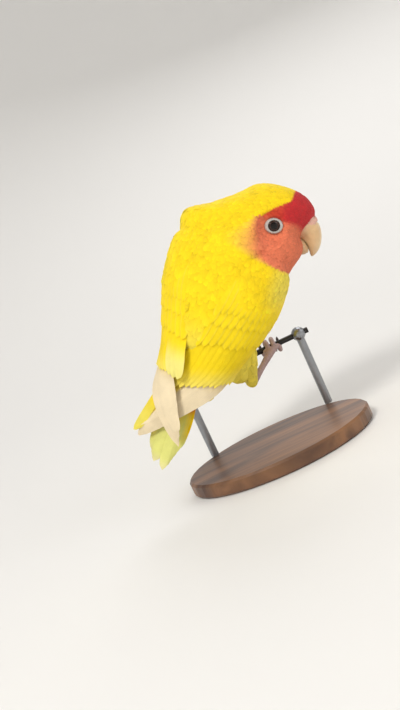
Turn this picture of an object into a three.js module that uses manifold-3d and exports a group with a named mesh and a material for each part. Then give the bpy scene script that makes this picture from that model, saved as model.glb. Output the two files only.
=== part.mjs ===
// Peach-faced lovebird, yellow form, clinging to a short length of wire on a plain display stand.
// Millimetres, +Z up. The origin is the centre of the underside of the stand.
import * as THREE from "three";
import { mergeVertices } from "three/addons/utils/BufferGeometryUtils.js";
import Module from "manifold-3d";

const wasm = await Module();
wasm.setup();

// Driving sizes
const RAD = Math.PI / 180;
const GAP = 0.3;
const BODY_TILT = 50.8 * RAD;
const BODY_AT = new THREE.Vector3(-16, -2, 60);
const WIRE_RADIUS = 1.4;
const WIRE_HEIGHT = -15;
const WIRE_DEPTH = 25;
const WIRE_ENDS = [-19, 53];
const ROD_AT = [-14, 48];
const ROD_RADIUS = 2;
const BASE_SIZE = [92, 64];
const BASE_HEIGHT = 7;
const EYE_RADIUS = 4.3;
const EYE_AT = { s: 64.8, t: 15.6 };
const HEAD_DEPTH = -2;

// Colours as the animal and its stand show them
const COLOURS = {
  yellow: 0xf2d21c,
  face: 0xe0704f,
  cream: 0xefe6c0,
  horn: 0xd9bd96,
  cere: 0xd9a9a0,
  skin: 0xcfc4bd,
  leg: 0xb49a98,
  claw: 0x8d807c,
  eye: 0x24110c,
  wire: 0x17181a,
  steel: 0x8f9296,
  wood: 0x6b4a30,
};
const FINISH = {
  yellow: [0.85, 0],
  face: [0.85, 0],
  cream: [0.8, 0],
  horn: [0.35, 0],
  cere: [0.5, 0],
  skin: [0.6, 0],
  leg: [0.6, 0],
  claw: [0.35, 0],
  eye: [0.08, 0],
  wire: [0.4, 0],
  steel: [0.35, 1],
  wood: [0.5, 0],
};

// Directions of the leaning body: along its axis to the head, across it, and away from the viewer
const ALONG = new THREE.Vector3(Math.cos(BODY_TILT), 0, Math.sin(BODY_TILT));
const ACROSS = new THREE.Vector3(Math.sin(BODY_TILT), 0, -Math.cos(BODY_TILT));
const AWAY = new THREE.Vector3(0, 1, 0);

function place(s, t, y) {
  return BODY_AT.clone()
    .addScaledVector(ALONG, s)
    .addScaledVector(ACROSS, t)
    .addScaledVector(AWAY, y);
}

function seat(x, y, z) {
  return new THREE.Vector3(x, y, z).add(BODY_AT);
}

// Smooth table lookup: rows are [key, ...values] with falling keys
function lookup(table, key) {
  const last = table.length - 1;
  let i = 0;
  while (i < last - 1 && key < table[i + 1][0]) i += 1;
  const [k0, k1] = [table[i][0], table[i + 1][0]];
  const f = Math.min(1, Math.max(0, (key - k0) / (k1 - k0)));
  const slope = (j, column) => {
    const before = table[Math.max(0, j - 1)];
    const after = table[Math.min(last, j + 1)];
    return (after[column] - before[column]) / (after[0] - before[0]);
  };
  const step = k1 - k0;
  const values = [];
  for (let column = 1; column < table[i].length; column += 1) {
    const a = table[i][column];
    const b = table[i + 1][column];
    const ma = slope(i, column) * step;
    const mb = slope(i + 1, column) * step;
    const f2 = f * f;
    const f3 = f2 * f;
    const fromHere = (2 * f3 - 3 * f2 + 1) * a + (f3 - 2 * f2 + f) * ma;
    values.push(fromHere + (3 * f2 - 2 * f3) * b + (f3 - f2) * mb);
  }
  return values;
}

// Sections of head, neck and trunk: station, centre across and deep, reach right, left, back and belly,
// roll in degrees, and how far the front of the head narrows to the bill
const FORM = [
  [83.0, 16.6, -2.0, 3.2, 3.2, 2.0, 2.0, 0, 0.0],
  [82.4, 16.5, -2.0, 7.6, 7.6, 5.2, 5.2, 0, 0.05],
  [80.8, 16.3, -2.0, 12.6, 11.7, 8.5, 8.5, 0, 0.1],
  [77.4, 15.8, -2.0, 17.4, 15.2, 12.0, 12.0, 0, 0.2],
  [74.0, 14.8, -2.0, 20.2, 18.4, 13.9, 13.9, 0, 0.28],
  [71.0, 13.8, -2.0, 20.8, 22.0, 15.0, 15.0, 0, 0.34],
  [68.0, 12.8, -2.0, 20.2, 25.4, 16.0, 15.8, 2, 0.34],
  [65.5, 11.5, -2.0, 19.7, 29.2, 16.6, 16.0, 5, 0.3],
  [63.5, 10.0, -1.8, 20.5, 32.0, 17.3, 16.2, 9, 0.26],
  [60.0, 8.0, -1.4, 25.0, 32.8, 18.4, 16.8, 14, 0.28],
  [55.0, 6.0, -1.0, 27.6, 30.6, 19.3, 18.0, 19, 0.2],
  [48.0, 4.2, -0.5, 27.2, 27.6, 20.0, 20.0, 23, 0.07],
  [40.0, 3.0, 0.0, 26.6, 26.0, 20.3, 21.5, 25, 0],
  [30.0, 2.2, 0.0, 25.4, 24.4, 20.2, 21.8, 25, 0],
  [20.0, 1.8, 0.0, 23.8, 22.4, 19.2, 20.0, 25, 0],
  [10.0, 1.2, -0.4, 21.0, 19.6, 17.3, 16.6, 25, 0],
  [0.0, 0.4, -1.2, 17.4, 16.4, 14.6, 12.2, 25, 0],
  [-8.0, -0.6, -2.4, 13.6, 13.0, 11.6, 8.2, 25, 0],
  [-15.0, -1.6, -3.6, 10.4, 10.0, 8.6, 5.4, 25, 0],
  [-22.0, -2.4, -4.6, 7.6, 7.6, 5.4, 3.4, 25, 0],
  [-28.0, -3.0, -5.2, 5.6, 5.6, 2.6, 1.6, 25, 0],
];

// Sections under the folded wings, which go on over the tail
const WING_GUIDE = [
  ...FORM.filter(([s]) => s <= 63.5 && s >= 0).map(([s, t, y, right, left, back, belly, roll]) => [
    s, t, y, right, left, back, belly, roll,
  ]),
  [-10.0, -0.6, -2.2, 15.5, 15.5, 11.8, 8.0, 25],
  [-20.0, -1.6, -3.2, 16.5, 16.5, 9.8, 6.0, 25],
  [-32.0, -2.6, -4.0, 20.0, 20.0, 8.2, 6.0, 25],
  [-46.0, -3.6, -4.6, 25.0, 25.0, 7.0, 6.0, 25],
  [-64.0, -4.6, -5.2, 28.0, 28.0, 6.0, 6.0, 25],
];

const TAIL_GUIDE = [
  [0.0, -0.6, -1.6, 26.0, 26.0, 6.0, 6.0, 25],
  [-20.0, -2.2, -3.6, 26.0, 26.0, 3.6, 5.0, 25],
  [-40.0, -3.8, -4.6, 30.0, 30.0, 3.0, 5.0, 25],
  [-64.0, -5.2, -5.4, 34.0, 34.0, 2.8, 5.0, 25],
];

// A point on a section at an angle from the viewer's side towards the bird's right
function sectionPoint(row, angle, grow = 0) {
  const [t, y, right, left, back, belly, rollDegrees, narrow = 0] = row;
  const roll = rollDegrees * RAD;
  const phi = angle + roll;
  const side = Math.sin(phi);
  const up = Math.cos(phi);
  const waist = 1 - narrow * Math.max(0, Math.sin(angle)) ** 2;
  const a = ((side > 0 ? right : left) + grow) * side;
  const b = ((up > 0 ? back : belly) + grow) * up * waist;
  return [t + a * Math.cos(roll) - b * Math.sin(roll), y - a * Math.sin(roll) - b * Math.cos(roll)];
}

// Closed geometry from rings of points, a fan over each end
function skinRings(rings, startPole, endPole) {
  const count = rings[0].length;
  const points = [startPole, ...rings.flat(), endPole];
  const faces = [];
  const at = (ring, i) => 1 + ring * count + (i % count);
  for (let i = 0; i < count; i += 1) {
    faces.push(0, at(0, i + 1), at(0, i));
    faces.push(points.length - 1, at(rings.length - 1, i), at(rings.length - 1, i + 1));
  }
  for (let ring = 0; ring + 1 < rings.length; ring += 1) {
    for (let i = 0; i < count; i += 1) {
      faces.push(at(ring, i), at(ring, i + 1), at(ring + 1, i + 1));
      faces.push(at(ring, i), at(ring + 1, i + 1), at(ring + 1, i));
    }
  }
  return closed(points, faces);
}

function closed(points, faces) {
  let volume = 0;
  for (let i = 0; i < faces.length; i += 3) {
    const [a, b, c] = [points[faces[i]], points[faces[i + 1]], points[faces[i + 2]]];
    volume += a.clone().cross(b).dot(c);
  }
  const order = volume > 0 ? faces : faces.slice().reverse();
  const geometry = new THREE.BufferGeometry();
  const numbers = points.flatMap((p) => [p.x, p.y, p.z]);
  geometry.setAttribute("position", new THREE.Float32BufferAttribute(numbers, 3));
  geometry.setIndex(order);
  return geometry;
}

function solid(geometry) {
  const plain = geometry.clone();
  plain.deleteAttribute("normal");
  plain.deleteAttribute("uv");
  const merged = mergeVertices(plain, 1e-4);
  return new wasm.Manifold(
    new wasm.Mesh({
      numProp: 3,
      vertProperties: new Float32Array(merged.attributes.position.array),
      triVerts: new Uint32Array(merged.index.array),
    }),
  );
}

function join(solids) {
  return solids.reduce((sum, next) => sum.add(next));
}

// The loft of head, neck and trunk between two stations, grown outwards by a margin
function trunk(from, to, ringCount, sides, grow = 0) {
  const rings = [];
  for (let i = 0; i <= ringCount; i += 1) {
    const s = from + ((to - from) * i) / ringCount;
    const row = lookup(FORM, s);
    const ring = [];
    for (let j = 0; j < sides; j += 1) {
      const [t, y] = sectionPoint(row, (j / sides) * 2 * Math.PI, grow);
      ring.push(place(s, t, y));
    }
    rings.push(ring);
  }
  const middle = (s) => place(s, ...lookup(FORM, s).slice(0, 2));
  const over = from > to ? grow : -grow;
  return solid(skinRings(rings, middle(from + over), middle(to - over)));
}

// A large block whose near face passes through two points given as [station, across]
function blockBeyond([s0, t0], [s1, t1], gap) {
  const a = place(s0, t0, 0);
  const b = place(s1, t1, 0);
  const run = b.clone().sub(a).normalize();
  const normal = new THREE.Vector3().crossVectors(run, AWAY).normalize();
  if (normal.dot(ALONG) < 0) normal.negate();
  const side = new THREE.Vector3().crossVectors(normal, run);
  const size = 300;
  const box = new THREE.BoxGeometry(size, size, size);
  const middle = a.clone().lerp(b, 0.5).addScaledVector(normal, size / 2 + gap);
  box.applyMatrix4(new THREE.Matrix4().makeBasis(run, side, normal).setPosition(middle));
  return solid(box.index ? box : mergeVertices(box));
}

// A point over a guide: station, arc length from the midline of the back (right is positive), height
const guideCache = new Map();
function guideArc(guide, s) {
  const key = Math.round(s * 4) / 4;
  if (!guideCache.has(guide)) guideCache.set(guide, new Map());
  const cache = guideCache.get(guide);
  if (!cache.has(key)) {
    const row = lookup(guide, key);
    const roll = row[6] * RAD;
    const steps = 90;
    const arc = { right: [], left: [] };
    for (const [name, sign] of [["right", 1], ["left", -1]]) {
      let length = 0;
      let before = null;
      for (let i = 0; i <= steps; i += 1) {
        const angle = -roll + (sign * i * Math.PI) / steps;
        const point = sectionPoint(row, angle);
        if (before) length += Math.hypot(point[0] - before[0], point[1] - before[1]);
        arc[name].push([length, angle]);
        before = point;
      }
    }
    cache.set(key, arc);
  }
  return cache.get(key);
}

function onGuide(guide, s, c, h) {
  const row = lookup(guide, s);
  const table = guideArc(guide, s)[c >= 0 ? "right" : "left"];
  const length = Math.abs(c);
  let i = 1;
  while (i < table.length - 1 && table[i][0] < length) i += 1;
  const [l0, a0] = table[i - 1];
  const [l1, a1] = table[i];
  const angle = a0 + ((a1 - a0) * (length - l0)) / (l1 - l0);
  const [t, y] = sectionPoint(row, angle);
  const [t1, y1] = sectionPoint(row, angle + 0.01);
  const [t0, y0] = sectionPoint(row, angle - 0.01);
  const run = Math.hypot(t1 - t0, y1 - y0);
  return place(s, t + (h * (y1 - y0)) / run, y - (h * (t1 - t0)) / run);
}

// Closed plate between an upper and a lower grid of points, both rows by columns and split alike
function plate(upper, lower) {
  const rows = upper.length;
  const columns = upper[0].length;
  const points = [...lower.flat(), ...upper.flat()];
  const level = rows * columns;
  const faces = [];
  const cell = (a, b, c, d) => faces.push(a, b, c, a, c, d);
  for (let i = 0; i + 1 < rows; i += 1) {
    for (let j = 0; j + 1 < columns; j += 1) {
      const k = i * columns + j;
      cell(k, k + 1, k + 1 + columns, k + columns);
      cell(level + k, level + k + columns, level + k + 1 + columns, level + k + 1);
    }
  }
  for (let j = 0; j + 1 < columns; j += 1) {
    const k = (rows - 1) * columns + j;
    cell(j + 1, j, level + j, level + j + 1);
    cell(k, k + 1, level + k + 1, level + k);
  }
  for (let i = 0; i + 1 < rows; i += 1) {
    const k = i * columns;
    const m = k + columns - 1;
    cell(k, k + columns, level + k + columns, level + k);
    cell(m + columns, m, level + m, level + m + columns);
  }
  return solid(closed(points, faces));
}

// A feather tract holds the lines along which a group of feathers lies: tract(column, share) gives
// [station, arc], with a share of 0 at the front or root and 1 at the rear or tip
function tractBetween(innerLine, outerLine, columns) {
  return (column, share) => {
    const f = column / (columns - 1);
    return [0, 1].map((i) => {
      const [front, middle, rear] = innerLine.map((point, j) => point[i] + (outerLine[j][i] - point[i]) * f);
      const ends = front * (1 - share) - rear * share;
      return ends * (1 - 2 * share) + middle * 4 * share * (1 - share);
    });
  };
}

// Outlines of a vane: share of its length, of its half width and of its thickness
const LONG_VANE = [
  [0, 0.45, 1],
  [0.38, 0.9, 1],
  [0.74, 1, 0.95],
  [0.92, 0.72, 0.85],
  [1, 0.2, 0.6],
];
const SHORT_VANE = [
  [0, 0.5, 1],
  [0.5, 1, 1],
  [0.86, 0.84, 0.9],
  [1, 0.3, 0.6],
];
const VANE_THICKNESS = 0.55;
const VANE_CROWN = 0.12;
const VANE_STEP = 0.86;

// One feather as a closed, tapered vane in column k of a tract. It runs from its root to its tip as shares of
// the tract, rise is the height there, and reach is how many columns it covers inwards and outwards. Each vane
// lies a step above the next one outwards: a part of the step, the drop at root and tip, comes from
// lowering it as a whole, and the rest from tilting it.
const VANE_REACH = [0.68, 0.68];
function vane(guide, side, tract, k, measures) {
  const { from, to, rise, drop = [0, 0], reach = VANE_REACH, outline = LONG_VANE } = measures;
  const upper = [];
  const lower = [];
  for (const [x, wide, deep] of outline) {
    const share = from + (to - from) * x;
    const fall = drop[0] + (drop[1] - drop[0]) * x * x;
    const base = rise[0] + (rise[1] - rise[0]) * x * (2 - x) - fall * k;
    const top = [];
    const bottom = [];
    for (const edge of [-1, 0, 1]) {
      const offset = edge * wide * (edge < 0 ? reach[0] : reach[1]);
      const [s, c] = tract(k + offset, share);
      const low = base + (VANE_STEP - fall) * (offset + 0.5) + (edge === 0 ? VANE_CROWN : 0);
      top.push(onGuide(guide, s, side * c, low + VANE_THICKNESS * deep));
      bottom.push(onGuide(guide, s, side * c, low));
    }
    upper.push(top);
    lower.push(bottom);
  }
  return plate(upper, lower);
}

// A row of vanes, one in each column, from the measures they share or a function of the column
function vaneRow(guide, side, tract, columns, measures) {
  const row = [];
  for (let k = 0; k < columns; k += 1) {
    row.push(vane(guide, side, tract, k, typeof measures === "function" ? measures(k) : measures));
  }
  return row;
}

// A curved plate on a guide over a patch given by rows of [station, inner arc, outer arc, height]
function shield(guide, patch, side, low, brim = 0.5) {
  const columns = 6;
  const upper = [];
  const lower = [];
  patch.forEach(([s, inner, outer, high], i) => {
    const top = [];
    const bottom = [];
    for (let j = 0; j <= columns; j += 1) {
      const c = side * (inner + ((outer - inner) * j) / columns);
      const edge = i === 0 || i === patch.length - 1 || j === 0 || j === columns;
      top.push(onGuide(guide, s, c, edge ? low + (high - low) * brim : high));
      bottom.push(onGuide(guide, s, c, low));
    }
    upper.push(top);
    lower.push(bottom);
  });
  return plate(upper, lower);
}

// A rounded limb along a smooth line through points, with a radius at each
function limb(points, radii, sides = 8, steps = 3) {
  const curve = new THREE.CatmullRomCurve3(points, false, "centripetal");
  const count = (points.length - 1) * steps;
  const rings = [];
  let across = null;
  for (let i = 0; i <= count; i += 1) {
    const f = i / count;
    const middle = curve.getPoint(f);
    const ahead = curve.getTangent(f);
    if (!across) {
      const spare = Math.abs(ahead.z) < 0.8 ? new THREE.Vector3(0, 0, 1) : new THREE.Vector3(1, 0, 0);
      across = new THREE.Vector3().crossVectors(ahead, spare);
    }
    across.addScaledVector(ahead, -across.dot(ahead)).normalize();
    const other = new THREE.Vector3().crossVectors(ahead, across);
    const g = f * (radii.length - 1);
    const low = Math.min(radii.length - 2, Math.floor(g));
    const radius = radii[low] + (radii[low + 1] - radii[low]) * (g - low);
    const ring = [];
    for (let j = 0; j < sides; j += 1) {
      const angle = (j / sides) * 2 * Math.PI;
      ring.push(
        middle
          .clone()
          .addScaledVector(across, radius * Math.cos(angle))
          .addScaledVector(other, radius * Math.sin(angle)),
      );
    }
    rings.push(ring);
  }
  const start = points[0].clone().addScaledVector(curve.getTangent(0), -radii[0] * 0.5);
  const end = points.at(-1).clone().addScaledVector(curve.getTangent(1), radii.at(-1) * 0.5);
  return solid(skinRings(rings, start, end));
}

function ball(centre, radius, detail = 16) {
  const sphere = new THREE.SphereGeometry(radius, detail, Math.round(detail * 0.6));
  sphere.translate(centre.x, centre.y, centre.z);
  return solid(sphere);
}

const group = new THREE.Group();

function geometryOf(body) {
  const mesh = body.getMesh();
  const geometry = new THREE.BufferGeometry();
  const positions = new Float32Array(mesh.numVert * 3);
  for (let i = 0; i < mesh.numVert; i += 1) {
    positions.set(mesh.vertProperties.subarray(i * mesh.numProp, i * mesh.numProp + 3), i * 3);
  }
  geometry.setAttribute("position", new THREE.BufferAttribute(positions, 3));
  geometry.setIndex(new THREE.BufferAttribute(new Uint32Array(mesh.triVerts), 1));
  return geometry;
}

function largest(body) {
  return body.decompose().sort((a, b) => b.volume() - a.volume())[0];
}

// Adds a node from a solid: its largest closed surface only
function node(name, body, finish) {
  const settled = largest(solid(mergeVertices(geometryOf(largest(body)), 1e-3)));
  const geometry = geometryOf(settled);
  geometry.computeVertexNormals();
  const [roughness, metalness] = FINISH[finish];
  const material = new THREE.MeshStandardMaterial({ color: COLOURS[finish], roughness, metalness });
  const part = new THREE.Mesh(geometry, material);
  part.name = name;
  group.add(part);
}

// Head, neck and trunk are one form, cut where the nape meets the head and where the neck meets the back
const form = trunk(82.9, -28, 37, 26);
const headSide = [[69, -9], [47, 32]];
const neckSide = [[66, -13], [38, 32]];
const tailSide = [[-17, -9], [-17, 9]];
const aboveHead = blockBeyond(...headSide, GAP / 2);
const aboveHeadClear = blockBeyond(...headSide, -GAP / 2);
const aboveNeck = blockBeyond(...neckSide, GAP / 2);
const aboveNeckClear = blockBeyond(...neckSide, -GAP / 2);
const aboveTail = blockBeyond(...tailSide, GAP / 2);
const aboveTailClear = blockBeyond(...tailSide, -GAP / 2);

// Bill: rows of culmen point, cutting-edge point and width, from the base to the tip
const UPPER_BILL = [
  [73.0, 31.5, 64.5, 26.0, 11.8],
  [72.8, 34.8, 63.2, 29.4, 11.6],
  [71.0, 37.3, 62.4, 31.6, 10.8],
  [68.0, 39.1, 61.5, 33.2, 9.8],
  [64.6, 40.1, 60.4, 34.5, 8.4],
  [61.2, 40.3, 59.1, 35.6, 6.2],
  [58.4, 39.5, 57.8, 36.5, 3.8],
  [56.6, 38.4, 56.7, 37.3, 1.6],
];
const LOWER_BILL = [
  [64.4, 25.0, 55.6, 27.0, 10.0],
  [63.4, 29.2, 55.3, 30.6, 9.6],
  [62.2, 31.8, 55.6, 33.4, 8.6],
  [61.0, 33.6, 56.4, 35.2, 6.8],
  [59.4, 35.0, 57.4, 36.2, 4.2],
];
function billLoft(rows, grow = 0) {
  const sides = 12;
  const lead = [rows[1][0] - rows[0][0], rows[1][1] - rows[0][1]];
  const ahead = lead.map((value) => (value * grow) / Math.hypot(...lead));
  const grown = rows.map((row) => row.slice());
  for (const column of [0, 2]) {
    grown[0][column] -= ahead[0];
    grown[0][column + 1] -= ahead[1];
  }
  const rings = grown.map(([s0, t0, s1, t1, width]) => {
    const high = [s0 - s1, t0 - t1];
    const reach = Math.hypot(...high) / 2 + grow;
    const unit = [high[0] / Math.hypot(...high), high[1] / Math.hypot(...high)];
    const middle = [(s0 + s1) / 2, (t0 + t1) / 2];
    const ring = [];
    for (let j = 0; j < sides; j += 1) {
      const angle = (j / sides) * 2 * Math.PI;
      const up = Math.cos(angle) * reach;
      const wide = Math.sin(angle) * (width / 2 + grow) * (up < 0 ? 1.06 : 1);
      ring.push(place(middle[0] + unit[0] * up, middle[1] + unit[1] * up, HEAD_DEPTH + wide));
    }
    return ring;
  });
  const pole = ([s0, t0, s1, t1]) => place((s0 + s1) / 2, (t0 + t1) / 2, HEAD_DEPTH);
  const last = rows.at(-1);
  const tip = place((last[0] + last[2]) / 2 - 0.3 - grow, (last[1] + last[3]) / 2 - 0.1, HEAD_DEPTH);
  return solid(skinRings(rings, pole(grown[0]), tip));
}
const upperBill = billLoft(UPPER_BILL);
const upperBillClear = billLoft(UPPER_BILL, GAP);
const lowerBill = billLoft(LOWER_BILL).subtract(upperBillClear);
const lowerBillClear = billLoft(LOWER_BILL, GAP);

// Cere: a low saddle over the base of the upper bill, with a nostril on each side
const CERE = [
  [75.2, 31.4, 65.5, 24.0, 9.4],
  [74.9, 33.0, 66.0, 27.0, 10.4],
  [74.0, 34.9, 66.5, 30.0, 10.6],
  [72.8, 36.0, 66.0, 32.0, 9.8],
];
const nostrils = [-1, 1].map((side) =>
  limb(
    [place(73.4, 32.4, HEAD_DEPTH + side * 2.6), place(74.8, 34.8, HEAD_DEPTH + side * 3.6)],
    [0.55, 0.6],
    8,
    1,
  ),
);

// Eyes with a bare ring round each
const eyeCentre = (side) => place(EYE_AT.s, EYE_AT.t, HEAD_DEPTH + side * 10.6);
function eyeRing(side, grow = 0) {
  const centre = eyeCentre(side);
  const axis = AWAY.clone().multiplyScalar(side);
  const profile = [
    [3.0 - grow, 2.2 - grow],
    [2.75 - grow, 3.55 + grow * 0.3],
    [3.1, 3.95 + grow],
    [3.75, 3.9 + grow],
    [4.35 + grow, 3.3 + grow * 0.5],
    [4.5 + grow, 2.2 - grow],
  ];
  const shape = profile.map(([x, y]) => new THREE.Vector2(x, y));
  shape.push(shape[0].clone());
  const lathe = new THREE.LatheGeometry(shape, 14);
  const turn = new THREE.Quaternion().setFromUnitVectors(new THREE.Vector3(0, 1, 0), axis);
  lathe.applyQuaternion(turn);
  lathe.translate(centre.x, centre.y, centre.z);
  const made = solid(lathe);
  return made.volume() < 0 ? solid(flipped(lathe)) : made;
}
function flipped(geometry) {
  const plain = mergeVertices(geometry);
  plain.setIndex([...plain.index.array].reverse());
  return plain;
}
const eyes = { right: -1, left: 1 };

const headForm = form.intersect(aboveHead);
let head = headForm.subtract(upperBillClear).subtract(lowerBillClear);
head = head.subtract(billLoft(CERE, GAP * 1.6));
for (const side of Object.values(eyes)) {
  head = head.subtract(ball(eyeCentre(side), EYE_RADIUS + GAP, 20));
  const socket = new THREE.CylinderGeometry(4.5 + GAP * 1.3, 4.5 + GAP * 1.3, 12, 14);
  const centre = eyeCentre(side).addScaledVector(AWAY, side * (6 + 1.9));
  socket.translate(centre.x, centre.y, centre.z);
  head = head.subtract(solid(socket));
}
node("head", head, "face");
node("bill_upper", upperBill, "horn");
node("bill_lower", lowerBill, "horn");
let cere = billLoft(CERE).subtract(upperBillClear);
for (const nostril of nostrils) cere = cere.subtract(nostril);
node("cere", cere, "cere");
for (const [name, side] of Object.entries(eyes)) {
  node(`eye_${name}`, ball(eyeCentre(side), EYE_RADIUS, 14), "eye");
  node(`eye_ring_${name}`, eyeRing(side).subtract(ball(eyeCentre(side), EYE_RADIUS + GAP, 20)), "skin");
}
node("neck", form.intersect(aboveNeck).subtract(aboveHeadClear), "yellow");

// The back between the wings stands as high as the wings do
const MANTLE_LOW = -1.6;
const MANTLE_HIGH = 3.2;
const MANTLE = [
  [62, -8, 8, MANTLE_HIGH],
  [54, -8.6, 8.6, MANTLE_HIGH],
  [44, -8.2, 8.2, MANTLE_HIGH],
  [33, -7.2, 7.2, MANTLE_HIGH],
  [22, -5.6, 5.6, MANTLE_HIGH],
  [12, -3.8, 3.8, MANTLE_HIGH],
  [4, -2, 2, MANTLE_HIGH],
];
const mantle = shield(WING_GUIDE, MANTLE, 1, MANTLE_LOW);
const torso = form.subtract(aboveNeckClear).intersect(aboveTail);
node("torso", torso.add(mantle.subtract(aboveNeckClear)), "yellow");

// Tail: twelve feathers in a wedge on a base that goes on from the rump, the middle pair on top
const TAIL_COLUMNS = 6;
const tailTract = tractBetween(
  [[-17.8, 1.8], [-36, 2.4], [-54.5, 2.6]],
  [[-17.8, 5.6], [-29, 8.4], [-40, 10]],
  TAIL_COLUMNS,
);
const tailParts = [form.subtract(aboveTailClear)];
for (const side of [1, -1]) {
  const stacked = side > 0 ? 0 : VANE_STEP;
  tailParts.push(
    ...vaneRow(TAIL_GUIDE, side, tailTract, TAIL_COLUMNS, {
      from: 0,
      to: 1,
      rise: [0.9 - stacked * 0.7, 1.9 - stacked],
      drop: [0.4, 0.56],
      reach: [1.9, 1.2],
    }),
  );
}
node("tail", join(tailParts), "yellow");

// Wings: the arm under the coverts, then tiers of vanes from the flight feathers up to the median coverts.
// All tiers over the arm share one tract, so that each covert lies over the root of its own feather.
const WING_PATCH = [
  [57.5, 10.5, 23, 3.3],
  [54, 10.2, 30, 3.4],
  [49.5, 10, 36.5, 3.3],
  [42, 9.6, 43, 2.6],
  [33, 8.8, 45, 2.3],
  [24, 7.4, 44, 2.3],
  [15, 5.8, 40.5, 2.2],
  [6, 4.2, 35, 2.0],
];
const WING_COLUMNS = 7;
const wingTract = tractBetween(
  [[57, 12.5], [20, 9.6], [-17, 4.4]],
  [[48, 35], [22, 40], [-7, 25]],
  WING_COLUMNS,
);
const WING_LOW = 1.4;
const WING_TIERS = [
  { from: 0.46, to: 1, rise: [WING_LOW + 0.05, 2.6] },
  { from: 0.2, to: 0.71, rise: [WING_LOW + 0.05, 3.4], outline: SHORT_VANE },
  { from: 0.03, to: 0.43, rise: [WING_LOW + 0.1, 3.9], outline: SHORT_VANE },
];
const PRIMARIES = 6;
const PRIMARY_ROOTS = [[9, 20], [15, 34]];
const INNER_SHORTER = [24, 12];
const OUTER_BOW = [-1.5, 3.2];
const LONGEST_REACH = [1.5, 1.2];
const OTHER_REACH = [0.9, 0.7];
function wing(side, { tip, lift }) {
  const guide = WING_GUIDE.map((row) => row.slice());
  guide.forEach((row) => {
    row[5] += lift * THREE.MathUtils.smoothstep(-row[0], -16, 6);
  });
  const [innerRoot, outerRoot] = PRIMARY_ROOTS;
  const innerTip = [tip[0] + INNER_SHORTER[0], tip[1] + INNER_SHORTER[1]];
  const between = (a, b, bow) => [(a[0] + b[0]) / 2 + bow[0], (a[1] + b[1]) / 2 + bow[1]];
  const primaryTract = tractBetween(
    [innerRoot, between(innerRoot, innerTip, [0, 0]), innerTip],
    [outerRoot, between(outerRoot, tip, OUTER_BOW), tip],
    PRIMARIES,
  );
  const primaries = vaneRow(guide, side, primaryTract, PRIMARIES, (k) => ({
    from: 0,
    to: 1,
    rise: [WING_LOW, 1.3],
    drop: [0, 0.4],
    reach: k === PRIMARIES - 1 ? LONGEST_REACH : OTHER_REACH,
  }));
  const tiers = WING_TIERS.flatMap((tier) => vaneRow(guide, side, wingTract, WING_COLUMNS, tier));
  return join([shield(guide, WING_PATCH, side, WING_LOW), ...primaries, ...tiers]);
}
const mantleRoom = MANTLE.map(([s, inner, outer], i) => {
  const end = i === 0 ? 3 : 0;
  return [s + end - (i === MANTLE.length - 1 ? GAP : 0), inner - GAP, outer + GAP, MANTLE_HIGH + 1];
});
const torsoClear = trunk(64.8, -28, 30, 26, GAP);
const mantleClear = shield(WING_GUIDE, mantleRoom, 1, MANTLE_LOW - 1.4, 1);
node("wing_right", wing(1, { tip: [-43, -14.5], lift: 0 }).subtract(mantleClear), "yellow");
node("wing_left", wing(-1, { tip: [-39, -7.5], lift: 4.4 }).subtract(mantleClear), "yellow");

// Legs: feathered thigh, bare shank with four toes round the wire, and claws
const FEET = { right: 33, left: 4.5 };
const HEELS = { right: [17, 14.5, -26], left: [-5, 13, -23] };
const HIPS = { right: [19, 5, 0], left: [-1, 8, -1] };
const TOES = [
  { shift: 1.9, from: 200, to: -20, size: 1.25 },
  { shift: -1.9, from: 200, to: -35, size: 1.25 },
  { shift: 4.7, from: 190, to: 345, size: 1.1 },
  { shift: -4.7, from: 190, to: 355, size: 1.15 },
];
const TOE_REACH = WIRE_RADIUS + GAP + 1.6;
function onWire(x, degrees, reach) {
  return seat(x, WIRE_DEPTH + reach * Math.cos(degrees * RAD), WIRE_HEIGHT + reach * Math.sin(degrees * RAD));
}

for (const name of ["right", "left"]) {
  const heel = seat(...HEELS[name]);
  const hip = seat(...HIPS[name]);
  const palm = seat(FEET[name], WIRE_DEPTH - 4.2, WIRE_HEIGHT - 0.6);
  const thighLine = (end) => [hip, hip.clone().lerp(heel, 0.45), heel.clone().lerp(hip, end)];
  const thigh = limb(thighLine(0.02), [8.5, 7.2, 2.7], 12, 3);
  const thighClear = limb(thighLine(0.01), [8.5, 7.2, 2.7].map((radius) => radius + GAP), 12, 3);
  node(`thigh_${name}`, thigh.subtract(torsoClear), "yellow");
  const shankLine = [heel.clone().lerp(palm, 0.06), heel.clone().lerp(palm, 0.5), palm];
  const shank = limb(shankLine, [1.9, 1.5, 2.2], 10, 3);
  const legParts = [shank];
  TOES.forEach(({ shift, from, to, size }, i) => {
    const line = [palm];
    const steps = 4;
    for (let k = 0; k <= steps; k += 1) {
      const angle = from + ((to - from) * k) / steps;
      line.push(onWire(FEET[name] + shift * (0.7 + 0.3 * (k / steps)), angle, TOE_REACH));
    }
    legParts.push(limb(line, [1.7, size, size * 0.95, size * 0.9, size * 0.85], 6, 2));
    const swing = to > from ? 1 : -1;
    const x = FEET[name] + shift;
    const claw = [14, 34, 58, 84].map((extra, k) => onWire(x, to + swing * (extra + 16), TOE_REACH - 0.1 * k));
    node(`claw_${name}_${i + 1}`, limb(claw, [0.85, 0.7, 0.45, 0.14], 6, 2), "claw");
  });
  node(`leg_${name}`, join(legParts).subtract(thighClear), "leg");
}

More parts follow.
